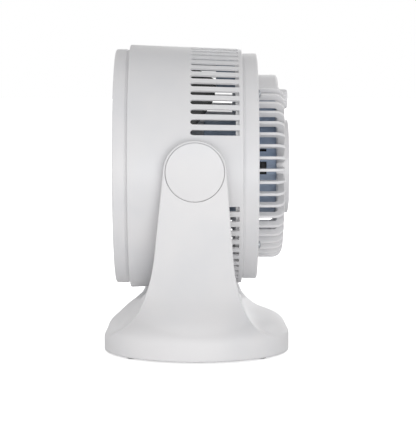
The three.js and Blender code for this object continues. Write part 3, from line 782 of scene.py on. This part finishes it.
housingEdge = reach("motor_housing")
housing = {
    "radius": 51,
    "nose": 3,
    "bore": 8,
    "rows": (30, 50),
    "wall": 2.6,
    "tiles": 16,
    "columns": 8,
    # vent widths by tile, counted from the top towards +X: wide ones at the sides, narrow ones above them
    "ventWidths": {4: 14, 12: 14, 3: 3.6, 13: 3.6, 1: 14, 15: 14, 8: 14},
    "slot": {"width": 14, "front": 67.7, "back": 75.2, "bandFront": 65, "bandBack": 78, "roundFront": False},
    "strutAngles": (45, 135, 225, 315),
    # each level of a strut is its height over the fan axis and its half width; then its two faces
    "strut": [(50, 6), (56, 4.8), (101.5, 4.8), (113.5, 6)],
    "strutFaces": (49.5, 58.5),
    "pad": [(109.6, 7), (118.8, 7)],
    "padFaces": (53, 62.6),
}


def levelLoops(bm, levels, faces):
    # level rectangles of (height over the fan axis, half width) between two places along the axis
    loops = []
    for height, half in levels:
        corners = [(-half, faces[0]), (half, faces[0]), (half, faces[1]), (-half, faces[1])]
        loops.append([bm.verts.new((x, y, axisZ + height)) for x, y in corners])
    lofted(bm, loops)


def makeHousing():
    r, front, nose, slot = housing["radius"], housingEdge["front"], housing["nose"], housing["slot"]
    around = housing["tiles"] * housing["columns"]
    noseArc = [(r - nose * (1 - math.sin(a)), front + nose * (1 - math.cos(a))) for a in quarter(4)]
    sides = [(r, y) for y in [*housing["rows"], slot["bandFront"]]]
    bm = bmesh.new()
    plainRows(bm, [(housing["bore"], front), (30, front), *noseArc, *sides], around)
    tail = bmesh.new()
    plainRows(tail, [(r, slot["bandBack"]), (r, rearCap["front"] - 0.3)], around)
    merged(bm, tail)
    slottedBand(bm, lambda along: r, housing["tiles"], housing["ventWidths"].get, slot, 4, housing["columns"])
    # the cup and its struts carry the grey-blue tone that is painted shade inside the head
    finished("motor_cup", bm, "head", greyAndShadePolypropylene, ["motor_housing"],
             wall=housing["wall"], bevel=0.4)
    arms = bmesh.new()
    for angle in housing["strutAngles"]:
        one = bmesh.new()
        levelLoops(one, housing["strut"], housing["strutFaces"])
        levelLoops(one, housing["pad"], housing["padFaces"])
        merged(arms, turnedCopy(one, math.radians(angle)))
        one.free()
    finished("motor_struts", arms, "head", greyAndShadePolypropylene, bevel=0.9)


# Inside the head: a black sleeve behind the housing's vents, painted shade that keeps them dark, and a
# grey-blue box at the top under the slots, whose tone is painted shade

inside = {
    "sleeve": 46,
    "sheet": 0.8,
    "sleeveFront": 69,
    "sleeveBack": 84,
    "box": [(86.5, 12.9), (89.5, 15), (119, 15)],  # levels as on a strut
    "boxFaces": (21.5, 46.5),
}


def makeInside():
    r, front, back = inside["sleeve"], inside["sleeveFront"], inside["sleeveBack"]
    thin = r - inside["sheet"]
    # a thin black sheet just behind the vents: painted shade inside the housing
    bm = spin(bmesh.new(), [(thin, front, 0.2), (r, front, 0.2), (r, back, 0.2), (thin, back, 0.2)], 96)
    finished("vent_shade_sleeve", bm, "head", coatedSteel)
    # a grey-blue box under the top slots that keeps them from showing through; its tone is painted shade
    bm = bmesh.new()
    levelLoops(bm, inside["box"], inside["boxFaces"])
    finished("top_slot_shade_box", bm, "head", greyAndShadePolypropylene, bevel=1.0)


# Impeller: five swept blades on a domed hub

impeller = {
    "blades": 5,
    "tip": 112,
    "hub": 36,
    "front": -50,
    "back": -8,
    "bore": 4.3,
    "wall": 2.6,
    "root": 2.5,         # how deep a blade starts inside the hub
    "sweep": 62,         # degrees that a blade covers at its root, and how much fewer at its tip
    "sweepTaper": 14,
    "skew": 8,
    "camber": 9,
    "thickness": 3.2,
    "thinning": 1.6,
    "alongSteps": 28,
    "acrossSteps": 20,
}


def bladePoint(along, across, side):
    hub, tip, root = impeller["hub"], impeller["tip"], impeller["root"]
    r = hub - root + (tip - hub + root) * along
    rear = impeller["back"] - 6 + 0.62 * (r - hub) - 14 * along ** 6
    front = impeller["front"] + 6 + 3 * along
    bow = impeller["camber"] * (across * across - 0.25) * along
    y = (front + rear) / 2 + (rear - front) * across + bow
    sweep = math.radians(impeller["sweep"] - impeller["sweepTaper"] * along)
    angle = across * sweep + math.radians(impeller["skew"]) * along
    edge = max(0.0, 1 - (2 * abs(across)) ** 6) ** 0.5
    thick = impeller["thickness"] - impeller["thinning"] * along
    thick *= (1 - 1.6 * across * across) * (0.25 + 0.75 * edge) * side / 2
    return (r * math.sin(angle) + thick * math.cos(angle) * 0.6, y + thick * 0.8,
            axisZ + r * math.cos(angle) - thick * math.sin(angle) * 0.6)


def bladeMesh():
    bm = bmesh.new()
    m, n = impeller["alongSteps"], impeller["acrossSteps"]
    loops = []
    for i in range(m + 1):
        upper = [bm.verts.new(bladePoint(i / m, j / n - 0.5, 1)) for j in range(n + 1)]
        lower = [bm.verts.new(bladePoint(i / m, j / n - 0.5, -1)) for j in range(n, -1, -1)]
        loops.append(upper + lower)
    lofted(bm, loops)
    return bm


def makeImpeller():
    hub, front, back, bore = impeller["hub"], impeller["front"], impeller["back"], impeller["bore"]
    inner = hub - impeller["wall"]
    bm = spin(bmesh.new(), [
        (bore, front + 6, 0.3), (9, front + 6, 0.5), (9, front + 1, 0.8), (hub - 14, front + 1, 4),
        (hub - 3, front + 6, 5), (hub, front + 13, 3), (hub, back, 0.6), (inner, back, 0.6),
        (inner, front + 14, 1), (hub - 8, front + 8, 2), (11, front + 8, 0.5), (11, back - 8, 0.5),
        (bore, back - 8, 0.3)], 96)
    blade = bladeMesh()
    for k in range(impeller["blades"]):
        merged(bm, turnedCopy(blade, 2 * math.pi * k / impeller["blades"]))
    blade.free()
    finished("impeller_wheel", bm, "impeller", blackAbs, ["impeller"], sharp=45)


# Screws: a domed pan head with a cross recess, cut once and copied

screws = {
    "ring_screw": {"count": 4, "radius": 4.2, "height": 2.4, "body": "head", "facing": "back"},
    "cap_screw": {"count": 2, "radius": 4.0, "height": 1.3, "body": "head", "facing": "back"},
    "motor_screw": {"count": 4, "radius": 4.0, "height": 2.4, "body": "head", "facing": "front"},
    "base_screw": {"count": 4, "radius": 3.6, "height": 1.4, "body": "stand", "facing": "down"},
}
screwTurn = {"first": 0.35, "each": 1.1}  # how far the crosses are turned
screwRecess = [(0.4, 0.62, 0.17), (-0.7, 0.4, 0.1)]  # depth, then half length and half width by the radius


def crossScrew(radius, height):
    # the head's face is at y = 0 and the shank points towards -y, on the y axis
    shank = radius * 0.4
    bm = spin(bmesh.new(), [
        (0, -height - 3, 0), (shank, -height - 3, 0), (shank, -height, 0), (radius, -height, 0.2),
        (radius, -height * 0.55, radius * 0.35), (radius * 0.45, 0, 1.2), (0, 0, 0)], 40, alongY(0, 0))
    head = objectFrom("screw_head", cleaned(bm))
    cutter = bmesh.new()
    for turn in (0, math.pi / 2):
        arm = bmesh.new()
        loops = []
        for depth, length, width in screwRecess:
            x, z = radius * length, radius * width
            y = depth * height if depth < 0 else depth
            loops.append([arm.verts.new((a, y, b)) for a, b in [(-x, -z), (x, -z), (x, z), (-x, z)]])
        lofted(arm, loops)
        bmesh.ops.rotate(arm, verts=arm.verts, cent=(0, 0, 0), matrix=Matrix.Rotation(turn, 3, "Y"))
        bmesh.ops.recalc_face_normals(arm, faces=arm.faces)
        merged(cutter, arm)
    recess = objectFrom("screw_recess", cutter)
    cut = head.modifiers.new("recess", "BOOLEAN")
    cut.object = recess
    cut.solver = "EXACT"
    cut.use_self = True
    withoutModifiers(head)
    mesh = head.data
    bpy.data.objects.remove(head)
    bpy.data.objects.remove(recess)
    return mesh


def makeScrews(name, screw):
    # one screw on each node; facing is the direction that its head looks in
    mesh = crossScrew(screw["radius"], screw["height"])
    facing = screw["facing"]
    for k in range(screw["count"]):
        node = f"{name}_{k + 1}"
        low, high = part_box(node)
        centre = (low + high) / 2 / mm
        face = {"back": high.y, "front": low.y, "down": low.z}[facing] / mm
        turns = [(screwTurn["first"] + screwTurn["each"] * k, "Y")]
        turns += {"back": [], "front": [(math.pi, "Z")], "down": [(-math.pi / 2, "X")]}[facing]
        bm = bmesh.new()
        bm.from_mesh(mesh)
        for angle, axis in turns:
            bmesh.ops.rotate(bm, verts=bm.verts, cent=(0, 0, 0), matrix=Matrix.Rotation(angle, 3, axis))
        at = (centre.x, centre.y, face) if facing == "down" else (centre.x, face, centre.z)
        bmesh.ops.translate(bm, verts=bm.verts, vec=at)
        finished(f"{node}_cross", bm, screw["body"], zincSteel, [node], sharp=30)


# Stand: one smooth skin over a rounded shape that is worked out from a few curves.
# The shape is a field, below zero inside it: arms cut from a side outline, a front outline
# and a round flare, run together with a low dome, and hollowed by the drum's trough.

stand = {
    "bottom": 2.0,
    "depth": 101.8,
    "width": 105.0,
    "topRadius": 32.5,
    "trough": 144.5,
    "troughHalf": 136.9,
    "crease": 1.8,       # roundness of the arms' long edges
    "skin": 14.0,        # how softly the arms' outer faces run into the round rim
    "scoop": 15.0,       # fillet between the arms and the dome
    "atRim": 0.5,        # both are this small at the rim, which arms and dome share
    "rise": (21, 29),    # where they start to grow, and over what height
    "rim": 3.0,          # roundness of the trough's edges
    "footEdge": 2.0,
    "step": 1.6,         # spacing of the skin's points
    "slope": 0.107,      # how fast the straight part of an arm widens downwards
    # half width in X against height
    "outer": [(0, 112), (16, 107.5), (28, 109), (38, 112.5), (48, 117.2), (58, 122.2), (68, 127.2), (80, 132),
              (95, 136.3), (120, 140.8), (157, 145.1), (174, 146.3), (204.5, 148.2), (237, 150.2)],
    "flare": [(0, 101.8), (16, 101.8), (28, 102.5), (38, 109), (48, 119), (64, 138), (82, 164), (104, 210),
              (260, 500)],
    "dome": [(0, 110), (14, 105.2), (20.75, 101.8), (28, 98.3), (35, 95), (42, 87.2), (49, 74.2),
             (55.5, 62.8), (60.5, 50.5), (66, 30), (70, 0)],
    "oval": (30, 18),    # the dome turns from round to the rim's oval below the first height
    "domeShift": 5.8,    # the dome's upper part stands a little to the front
    "shiftFrom": (40, 13),
    "rimLean": 2.25,     # the rim's edge is higher at the rear
    "leanBelow": (54, 30),
    "rimEdge": 0.8,
    # front and rear edges of the arms: start, two pulls and end as (y, height)
    "frontSweep": [(-101.8, 18.5), (-66, 36), (-50, 68), (-43.6, 115)],
    "rearSweep": [(38.1, 115), (43, 57), (62, 20), (101.8, 23)],
}


def smoothCurve(knots):
    # a smooth curve through (height, value) knots
    z, value = np.array(knots, float).T
    slope = np.gradient(value, z)

    def at(height):
        height = np.clip(height, z[0], z[-1])
        k = np.clip(np.searchsorted(z, height) - 1, 0, len(z) - 2)
        h = z[k + 1] - z[k]
        t = (height - z[k]) / h
        return ((2 * t ** 3 - 3 * t ** 2 + 1) * value[k] + (t ** 3 - 2 * t ** 2 + t) * h * slope[k]
                + (3 * t ** 2 - 2 * t ** 3) * value[k + 1] + (t ** 3 - t ** 2) * h * slope[k + 1])

    return at


def sweepCurve(points, above):
    # a side edge as a curve of y against height, from a four-point sweep, with straight lines beyond its ends
    t = np.linspace(0, 1, 200)[:, None]
    p = np.array(points, float)
    line = (1 - t) ** 3 * p[0] + 3 * (1 - t) ** 2 * t * p[1] + 3 * (1 - t) * t ** 2 * p[2] + t ** 3 * p[3]
    y, z = line[np.argsort(line[:, 1])].T

    def at(height):
        return np.where(height > z[-1], y[-1] + (height - z[-1]) * above, np.interp(height, z, y))

    return at


outerAt = smoothCurve(stand["outer"])
flareAt = smoothCurve(stand["flare"])
domeAt = smoothCurve(stand["dome"])
tangent = math.atan(stand["slope"])
armTop = axisZ + stand["topRadius"] * math.sin(tangent)
armHalf = stand["topRadius"] * math.cos(tangent)
frontEnd, rearEnd = stand["frontSweep"][-1], stand["rearSweep"][0]
frontAt = sweepCurve(stand["frontSweep"], (pivotY - armHalf - frontEnd[0]) / (armTop - frontEnd[1]))
rearAt = sweepCurve(stand["rearSweep"], (pivotY + armHalf - rearEnd[0]) / (armTop - rearEnd[1]))


def smoothMax(a, b, k):
    h = np.maximum(k - np.abs(a - b), 0) / k
    return np.maximum(a, b) + h * h * k / 4


def eased(t):
    t = np.clip(t, 0, 1)
    return t * t * (3 - 2 * t)


def offCurve(curve, height, value, side=1):
    # distance outside a curve, corrected for its slope
    here = curve(height)
    slope = curve(height + 0.5) - curve(height - 0.5)
    return side * (value - here) / np.sqrt(1 + slope * slope)


def standField(x, y, z):
    ax = np.abs(x)
    sides = np.maximum(offCurve(frontAt, z, y, -1), offCurve(rearAt, z, y))
    sides = np.where(z > armTop, np.hypot(y - pivotY, z - axisZ) - stand["topRadius"], sides)
    widen = stand["width"] / stand["depth"]
    rise = eased((z - stand["rise"][0]) / stand["rise"][1])
    skin, scoop = [stand["atRim"] + (stand[key] - stand["atRim"]) * rise for key in ("skin", "scoop")]
    outside = smoothMax(offCurve(outerAt, z, ax), offCurve(flareAt, z, np.hypot(x / widen, y)), skin)
    arm = smoothMax(sides, outside, stand["crease"])
    oval = 1 + (widen - 1) * eased((stand["oval"][0] - z) / stand["oval"][1])
    shift = stand["domeShift"] * eased((z - stand["shiftFrom"][0]) / stand["shiftFrom"][1])
    plan = np.hypot(x / oval, y + shift)
    lean = stand["rimLean"] * y / stand["depth"] * eased((stand["leanBelow"][0] - z) / stand["leanBelow"][1])
    dome = smoothMax(offCurve(domeAt, z - lean, plan), plan - stand["depth"], stand["rimEdge"])
    body = -smoothMax(-arm, -dome, scoop)
    trough = np.maximum(np.hypot(x, np.minimum(z - axisZ, 0)) - stand["trough"], ax - stand["troughHalf"])
    body = smoothMax(body, -trough, stand["rim"])
    return smoothMax(body, stand["bottom"] - z, stand["footEdge"])


def skinOf(field, low, high, step):
    # an even skin of quads over the field's zero level, pulled exactly onto it
    axes = [np.arange(a - 2 * step, b + 3 * step, step) for a, b in zip(low, high)]
    x, y, z = axes[0][:, None, None], axes[1][None, :, None], axes[2][None, None, :]
    value = field(x, y, z) + np.zeros((len(axes[0]), len(axes[1]), len(axes[2])))
    inside = value < 0
    cells = [len(a) - 1 for a in axes]
    total = np.zeros(cells + [3])
    count = np.zeros(cells)
    crossings = []
    for axis in range(3):
        near = [slice(None)] * 3
        far = [slice(None)] * 3
        near[axis], far[axis] = slice(0, -1), slice(1, None)
        near, far = tuple(near), tuple(far)
        i, j, k = np.nonzero(inside[near] != inside[far])
        a, b = value[near][i, j, k], value[far][i, j, k]
        share = a / (a - b)
        point = np.stack([i, j, k], axis=1).astype(float)
        point[:, axis] += share
        others = [m for m in range(3) if m != axis]
        corners = []
        for du in (0, 1):
            for dv in (0, 1):
                cell = np.stack([i, j, k], axis=1)
                cell[:, others[0]] -= du
                cell[:, others[1]] -= dv
                corners.append(cell)
                np.add.at(total, tuple(cell.T), point)
                np.add.at(count, tuple(cell.T), 1)
        crossings.append((axis, inside[near][i, j, k], corners))
    used = np.nonzero(count)
    number = -np.ones(cells, int)
    number[used] = np.arange(len(used[0]))
    places = total[used] / count[used][:, None]
    start = np.array([a[0] for a in axes])
    places = start + places * step
    for _ in range(4):
        value = field(*places.T)
        grad = np.stack([(field(*(places + d).T) - field(*(places - d).T)) / 0.4
                         for d in np.eye(3) * 0.2], axis=1)
        pull = (value / np.maximum((grad ** 2).sum(axis=1), 0.2))[:, None] * grad
        places = places - np.clip(pull, -0.8, 0.8)
    faces = []
    for axis, solidFirst, (c00, c01, c10, c11) in crossings:
        quad = np.stack([number[tuple(c.T)] for c in (c00, c01, c11, c10)], axis=1)
        turned = solidFirst if axis != 1 else ~solidFirst
        quad[~turned] = quad[~turned][:, ::-1]
        faces.append(quad)
    return places, np.concatenate(faces)


def makeStand():
    low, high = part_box("stand_shell")
    places, faces = skinOf(standField, low / mm, high / mm, stand["step"])
    mesh = bpy.data.meshes.new("stand_moulding")
    mesh.from_pydata((places * mm).tolist(), [], faces.tolist())
    piece = bpy.data.objects.new("stand_moulding", mesh)
    bpy.context.scene.collection.objects.link(piece)
    cuts = [pivotPocket(1), pivotPocket(-1), platePocket()]
    for k, cutter in enumerate(cuts):
        cut = piece.modifiers.new(f"cut_{k}", "BOOLEAN")
        cut.object = cutter
        cut.solver = "EXACT"
    withoutModifiers(piece)
    for cutter in cuts:
        bpy.data.objects.remove(cutter)
    mesh = piece.data
    mesh.materials.clear()
    mesh.materials.append(whiteAbs)
    mesh.shade_smooth()
    mesh.set_sharp_from_angle(angle=math.radians(42))
    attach(piece, "stand")
    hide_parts("stand_shell")
    print("stand skin:", len(mesh.vertices), "points")


def cutterObject(name, bm):
    cleaned(bm).transform(Matrix.Scale(mm, 4))
    return objectFrom(name, bm)


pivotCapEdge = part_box("pivot_cap_right")
pivotCap = {
    "radius": (pivotCapEdge[1].y - pivotCapEdge[0].y) / 2 / mm,
    "gap": 0.5,
    "thickness": 2.2,
    "lean": 3.3,         # degrees
    "face": float(outerAt(axisZ)) - 0.15,  # a little sunk in the arm
    "proud": 15,         # the pocket's cutter runs this far out
}


def leaning(side):
    # the round cap lies in the arm's leaning face: turn about its own middle, then mirror for the other side
    centre = Vector((pivotCap["face"] - 1.2, pivotY, axisZ))
    turn = (Matrix.Translation(centre) @ Matrix.Rotation(math.radians(pivotCap["lean"]), 4, "Y")
            @ Matrix.Translation(-centre))
    return turn if side > 0 else Matrix.Diagonal((-1, 1, 1, 1)) @ turn


def pivotPocket(side):
    inner, outer = pivotCap["face"] - pivotCap["thickness"] - 0.6, pivotCap["face"] + pivotCap["proud"]
    r = pivotCap["radius"] + pivotCap["gap"]
    bm = spin(bmesh.new(), [(0, inner, 0), (r, inner, 0.3), (r, outer, 0), (0, outer, 0)], 128, pivotPoint)
    bm.transform(leaning(side))
    return cutterObject("pivot_pocket", bm)


def platePocket():
    low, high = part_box("base_plate")
    r, top = (high.y - low.y) / 2 / mm + 0.5, high.z / mm + 0.3
    bm = spin(bmesh.new(), [(0, -5, 0), (r, -5, 0), (r, top, 0), (0, top, 0)], 128,
              alongZ(0, 0, stand["width"] / stand["depth"]))
    return cutterObject("plate_pocket", bm)


def makePivotCaps():
    inner, outer, r = pivotCap["face"] - pivotCap["thickness"], pivotCap["face"] - 0.1, pivotCap["radius"]
    for side, name in ((1, "right"), (-1, "left")):
        section = [(0, inner, 0), (r, inner, 0.3), (r, outer, 0.7), (0, outer, 0)]
        bm = spin(bmesh.new(), section, 128, pivotPoint)
        bm.transform(leaning(side))
        finished(f"pivot_cover_{name}", bm, "stand", whiteAbs, [f"pivot_cap_{name}"])


pivotFlange = {"bore": 4.3, "radius": 22, "inner": 122}


def makePivotBosses():
    bore, r, inner = pivotFlange["bore"], pivotFlange["radius"], pivotFlange["inner"]
    for side, name in ((1, "right"), (-1, "left")):
        low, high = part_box(f"pivot_boss_{name}")
        tip = max(abs(low.x), abs(high.x)) / mm
        section = [(bore, inner, 0), (r, inner, 0), (r, tip, 1.6), (bore, tip, 0.4)]
        bm = spin(bmesh.new(), section, 96, pivotPoint)
        bm.transform(Matrix.Diagonal((side, 1, 1, 1)))
        finished(f"pivot_flange_{name}", bm, "head", whiteAbs, [f"pivot_boss_{name}"])


def makeFeet():
    for k in range(1, 5):
        low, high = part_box(f"foot_{k}")
        middle = (low + high) / 2 / mm
        r, top = (high.x - low.x) / 2 / mm, high.z / mm
        bm = spin(bmesh.new(), [(0, 0.3, 0), (r - 4, 0.3, 0.2), (r - 3.4, 0, 0.2), (r, 0, 0.5), (r, top, 0.2),
                                (0, top, 0)], 64, alongZ(middle.x, middle.y))
        finished(f"rubber_foot_{k}", bm, "stand", nitrileRubber, [f"foot_{k}"])


makeBezel()
makeGuard()
makeFrontCap()
makeDuct()
makeDrum()
makeRearRing()
print("drum and front made")
makeBasket()
makeRearCap()
makeGrommet()
makePod()
makePodEndShade()
makeKnob()
makeSpeedMarks()
makeHousing()
makeInside()
makeImpeller()
print("rear, motor housing and impeller made")
makeStand()
makePivotCaps()
makePivotBosses()
makeFeet()
for name, screw in screws.items():
    makeScrews(name, screw)
print("stand and fasteners made")


# Carried-over frame pieces keep their shape and get their own finish

carriedLooks = {
    "base_plate": whiteAbs,
    "rotary_switch": blackAbs,
    "run_capacitor": blackAbs,
    "motor_bell_front": coatedSteel,
    "motor_bell_rear": coatedSteel,
    "stator_core": laminations,
    "rotor_core": laminations,
    "winding_front": copperWire,
    "winding_rear": copperWire,
    "pivot_washer_left": nitrileRubber,
    "pivot_washer_right": nitrileRubber,
}
for name, node in frame["nodes"].items():
    if not node.hide_render:
        node.data.materials.clear()
        node.data.materials.append(carriedLooks.get(name, zincSteel))


# Table, light and camera

stage = {
    "table": "#ffffff",
    "tableTone": "#e2e2e2",  # what the object sees of the table
    "tableSize": 60,
    "glowNear": 0.68,        # the table's own light where the stand is, and far from it
    "glowFar": 1.0,
    "glowReach": (0.25, 1.2),
    "bounce": 0.04,          # light that the table gives back beside what falls on it
    "ambientTop": 0.46,
    "ambientLevel": 0.69,
    "lights": [
        {"name": "key_beside_camera", "place": (2.2, 0.75, 0.32), "size": (1.2, 1.2), "power": 7.8},
        {"name": "fill_left_of_camera", "place": (1.9, -1.3, 0.25), "size": (1.2, 1.2), "power": 4},
        {"name": "low_fill", "place": (1.5, 0.1, 0.12), "size": (1.2, 0.2), "power": 4.0},
        {"name": "front_side", "place": (0.4, -2.3, 0.6), "size": (1.4, 1.4), "power": 6},
        {"name": "rear_side", "place": (-0.2, 2.3, 0.6), "size": (1.4, 1.4), "power": 5},
        {"name": "far_side", "place": (-2.0, 0.6, 0.7), "size": (1.4, 1.4), "power": 8},
    ],
    "camera": {"place": (2.035, 0.0033, 0.297), "aim": (0, 0.01265, 0.1548), "lens": 157.8, "sensor": 36},
}


def seenAndFelt(tree, seen, felt):
    # one look for the camera and another for the light that falls on the object
    ray = addNode(tree, "ShaderNodeLightPath").outputs["Is Camera Ray"]
    return addNode(tree, "ShaderNodeMixShader", {}, {0: ray, 1: felt, 2: seen}).outputs["Shader"]


def makeTable():
    # a plain pale table that runs into the backdrop, with only a faint shadow where the stand touches it
    bm = bmesh.new()
    half = stage["tableSize"] / 2
    corners = [(-half, -half), (half, -half), (half, half), (-half, half)]
    bm.faces.new([bm.verts.new((x, y, 0)) for x, y in corners])
    table = objectFrom("table", bm)
    material = bpy.data.materials.new("pale_table")
    material.use_nodes = True
    tree = material.node_tree
    tree.nodes.clear()
    place = addNode(tree, "ShaderNodeTexCoord").outputs["Object"]
    away = addNode(tree, "ShaderNodeVectorMath", {"operation": "LENGTH"}, {0: place}).outputs["Value"]
    near, far = stage["glowReach"]
    glow = ranged(tree, away, {"From Min": near, "From Max": far, "To Min": stage["glowNear"],
                               "To Max": stage["glowFar"]})
    white = linear(stage["table"])
    seen = addNode(tree, "ShaderNodeBsdfPrincipled", {
        "Roughness": 0.9, "Specular IOR Level": 0.2, "Base Color": white, "Emission Color": white},
        {"Emission Strength": glow})
    felt = addNode(tree, "ShaderNodeBsdfPrincipled", {
        "Roughness": 1.0, "Specular IOR Level": 0.0, "Base Color": linear(stage["tableTone"]),
        "Emission Color": white, "Emission Strength": stage["bounce"]})
    surface = seenAndFelt(tree, seen.outputs["BSDF"], felt.outputs["BSDF"])
    addNode(tree, "ShaderNodeOutputMaterial", {}, {"Surface": surface})
    table.data.materials.append(material)


def makeBackdrop():
    world = bpy.data.worlds.new("studio")
    bpy.context.scene.world = world
    world.use_nodes = True
    tree = world.node_tree
    tree.nodes.clear()
    white = linear(stage["table"])
    seen = addNode(tree, "ShaderNodeBackground", {"Color": white, "Strength": 1.0})
    way = addNode(tree, "ShaderNodeTexCoord").outputs["Generated"]
    height = addNode(tree, "ShaderNodeSeparateXYZ", {}, {0: way}).outputs["Z"]
    dim = ranged(tree, height, {"From Min": 0.0, "From Max": 0.8, "To Min": stage["ambientLevel"],
                                "To Max": stage["ambientTop"]})
    felt = addNode(tree, "ShaderNodeBackground", {"Color": white}, {"Strength": dim})
    surface = seenAndFelt(tree, seen.outputs["Background"], felt.outputs["Background"])
    addNode(tree, "ShaderNodeOutputWorld", {}, {"Surface": surface})


def makeSoftbox(box):
    light = bpy.data.lights.new(box["name"], "AREA")
    light.shape = "RECTANGLE"
    light.size, light.size_y = box["size"]
    light.energy = box["power"]
    lamp = bpy.data.objects.new(box["name"], light)
    lamp.location = box["place"]
    lamp.visible_camera = False
    aim = Vector((0, 0, axisZ * mm)) - lamp.location
    lamp.rotation_euler = aim.to_track_quat("-Z", "Y").to_euler()
    bpy.context.scene.collection.objects.link(lamp)


def makeCamera():
    # a long lens level with the top of the fan, looking slightly down at its side
    view = stage["camera"]
    camera = bpy.data.cameras.new("camera")
    camera.sensor_width = view["sensor"]
    camera.lens = view["lens"]
    eye = bpy.data.objects.new("camera", camera)
    eye.location = view["place"]
    aim = Vector(view["aim"]) - eye.location
    eye.rotation_euler = aim.to_track_quat("-Z", "Y").to_euler()
    bpy.context.scene.collection.objects.link(eye)
    bpy.context.scene.camera = eye


makeTable()
makeBackdrop()
for box in stage["lights"]:
    makeSoftbox(box)
makeCamera()
bpy.context.scene.view_settings.view_transform = "Standard"
print("table, light and camera set")
